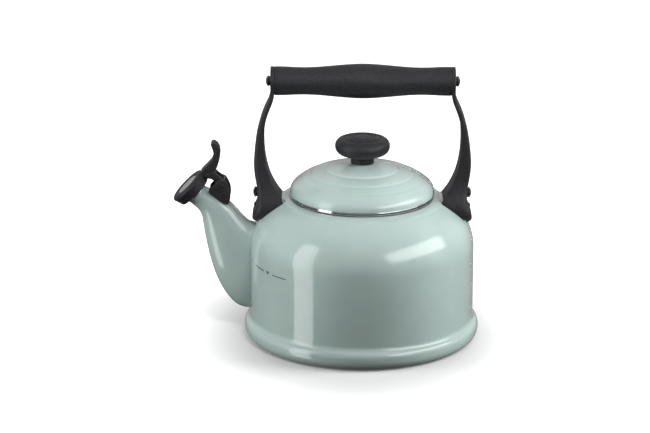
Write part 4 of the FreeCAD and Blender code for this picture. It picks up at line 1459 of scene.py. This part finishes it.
@dataclass
class Studio:
    """The pale floor, the soft lights and the camera."""

    camera_height_angle: float = 17.55
    camera_distance: float = 2.5
    camera_target: Place = (-0.03145, 0.0, 0.1039)
    camera_roll: float = 0.2
    lens: float = 162.83
    sensor: float = 36.0
    floor_drop: float = 0.0002
    floor_span: float = 40.0
    floor_tone: float = 0.64
    # The floor's emission by distance from the kettle: none next to it, a painted shadow round its
    # base, rising to a glow further out.
    floor_glow_and_painted_shadow: Stops = ((0.12, 0.0), (0.14, 0.1), (0.16, 0.27), (0.2, 0.62), (0.3, 0.88))
    painted_shadow_stretch: float = 1.3
    sky_tones: Stops = ((0.4, 0.05), (0.5, 0.12), (0.53, 0.28), (0.6, 0.29), (0.85, 0.4))
    back_tones: Stops = ((0.7, 0.0), (0.97, 0.22))
    lights: tuple[SoftBox, ...] = (
        SoftBox("front_key", (0.1, -0.5, 0.6), (0, -0.05, 0.24), 0.25, 0.25, 0.26, Use.FILL, 36),
        SoftBox("right_fill", (0.95, -0.1, 0.45), (0, 0, 0.08), 0.5, 0.8, 17.0, Use.FILL),
        SoftBox("right_card", (0.85, -0.45, 0.58), (0, 0, 0.08), 1.4, 0.42, 5.6, Use.REFLECTION),
        SoftBox("left_fill", (-0.95, -0.15, 0.4), (0, 0, 0.08), 0.5, 0.8, 7.2, Use.FILL),
        SoftBox("left_low_fill", (-0.8, -0.3, 0.1), (0, 0, 0.05), 0.3, 0.3, 2.8, Use.FILL),
        SoftBox("left_window", (-0.86, -0.5, 0.2), (0, 0, 0.2), 0.38, 1.4, 3.7, Use.REFLECTION),
    )

    def floor(self) -> None:
        """Lays the floor: it glows a little away from the kettle and not next to it, a painted shadow
        round the kettle's base, and isn't mirrored in it.
        """
        put_down()
        bpy.ops.mesh.primitive_plane_add(size=self.floor_span, location=(0, 0, -self.floor_drop))
        floor = bpy.context.object
        floor.name = "studio_floor"
        nodes = Nodes("pale_floor")
        tone = self.floor_tone
        nodes.feed("Base Color", nodes.blend(nodes.noise(2.0), (tone,) * 3, (tone + 0.01,) * 3))
        # Emission by distance from the kettle, stretched along X: a painted shadow round the kettle's
        # base that fades into a glowing floor further out.
        stretch = nodes.vector_math("MULTIPLY")
        stretch.inputs[1].default_value = (self.painted_shadow_stretch, 1.0, 1.0)
        nodes.join(nodes.place, stretch.inputs[0])
        reach = nodes.vector_math("LENGTH")
        nodes.join(stretch.outputs["Vector"], reach.inputs[0])
        nodes.feed("Emission Color", nodes.greys(reach.outputs["Value"], self.floor_glow_and_painted_shadow))
        nodes.set(Roughness=0.6, Emission_Strength=1.0)
        floor.data.materials.append(nodes.material)
        floor.visible_diffuse = False
        floor.visible_glossy = False

    def sky(self) -> None:
        """Makes the surroundings: dark in front below the horizon, pale above it and behind."""
        world = bpy.data.worlds.new("pale_room")
        bpy.context.scene.world = world
        world.use_nodes = True
        tree = Tree(world.node_tree)
        room = world.node_tree.nodes["Background"]
        parts = tree.add("ShaderNodeSeparateXYZ")
        tree.join(tree.add("ShaderNodeTexCoord").outputs["Generated"], parts.inputs["Vector"])
        total = tree.vector_math("ADD")
        for index, (axis, stops) in enumerate((("Z", self.sky_tones), ("Y", self.back_tones))):
            share = tree.add("ShaderNodeMapRange", From_Min=-1.0)
            tree.join(parts.outputs[axis], share.inputs["Value"])
            tree.join(tree.greys(share.outputs["Result"], stops), total.inputs[index])
        tree.join(total.outputs["Vector"], room.inputs["Color"])
        white = tree.add("ShaderNodeBackground", Color=(1.0, 1.0, 1.0, 1.0))
        seen = tree.add("ShaderNodeMixShader")
        tree.join(tree.add("ShaderNodeLightPath").outputs["Is Camera Ray"], seen.inputs["Fac"])
        tree.join(room.outputs["Background"], seen.inputs[1])
        tree.join(white.outputs["Background"], seen.inputs[2])
        tree.join(seen.outputs["Shader"], world.node_tree.nodes["World Output"].inputs["Surface"])

    def camera(self) -> None:
        """Sets up the camera and makes it the scene's."""
        angle = math.radians(self.camera_height_angle)
        back = Vector((0, -math.cos(angle), math.sin(angle)))
        right = Vector((1, 0, 0))
        up = back.cross(right)
        roll = math.radians(self.camera_roll)
        axis_x = right * math.cos(roll) + up * math.sin(roll)
        axis_y = up * math.cos(roll) - right * math.sin(roll)
        data = bpy.data.cameras.new("studio_camera")
        data.lens = self.lens
        data.sensor_width = self.sensor
        camera = bpy.data.objects.new("studio_camera", data)
        bpy.context.scene.collection.objects.link(camera)
        turn = Matrix((axis_x, axis_y, back)).transposed().to_4x4()
        place = Vector(self.camera_target) + back * self.camera_distance
        camera.matrix_world = Matrix.Translation(place) @ turn
        bpy.context.scene.camera = camera

    def build(self) -> None:
        """Builds the studio."""
        self.camera()
        self.floor()
        self.sky()
        for light in self.lights:
            light.hang()
        bpy.context.scene.view_settings.view_transform = "Standard"


def main() -> None:
    """Builds the studio, then every sub-assembly in order."""
    logging.basicConfig(level=logging.INFO, format="%(message)s", force=True)
    whistle_size = WhistleSizes()
    disc_centre = (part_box("whistle_front_plate")[0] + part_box("whistle_front_plate")[1]) / 2
    finishes = Finishes(disc_centre, -whistle_size.tilt)
    finishes.dress_frame()
    Studio().build()
    vessel = Vessel(finishes)
    vessel.build()
    spout = Spout(finishes, vessel)
    spout.build(whistle_size.place)
    Lid(finishes).build()
    Handle(finishes, vessel, spout).build()
    Bracket(finishes, whistle_size, spout).build()
    Whistle(finishes, whistle_size).build()
    put_down()


if __name__ == "__main__":
    main()
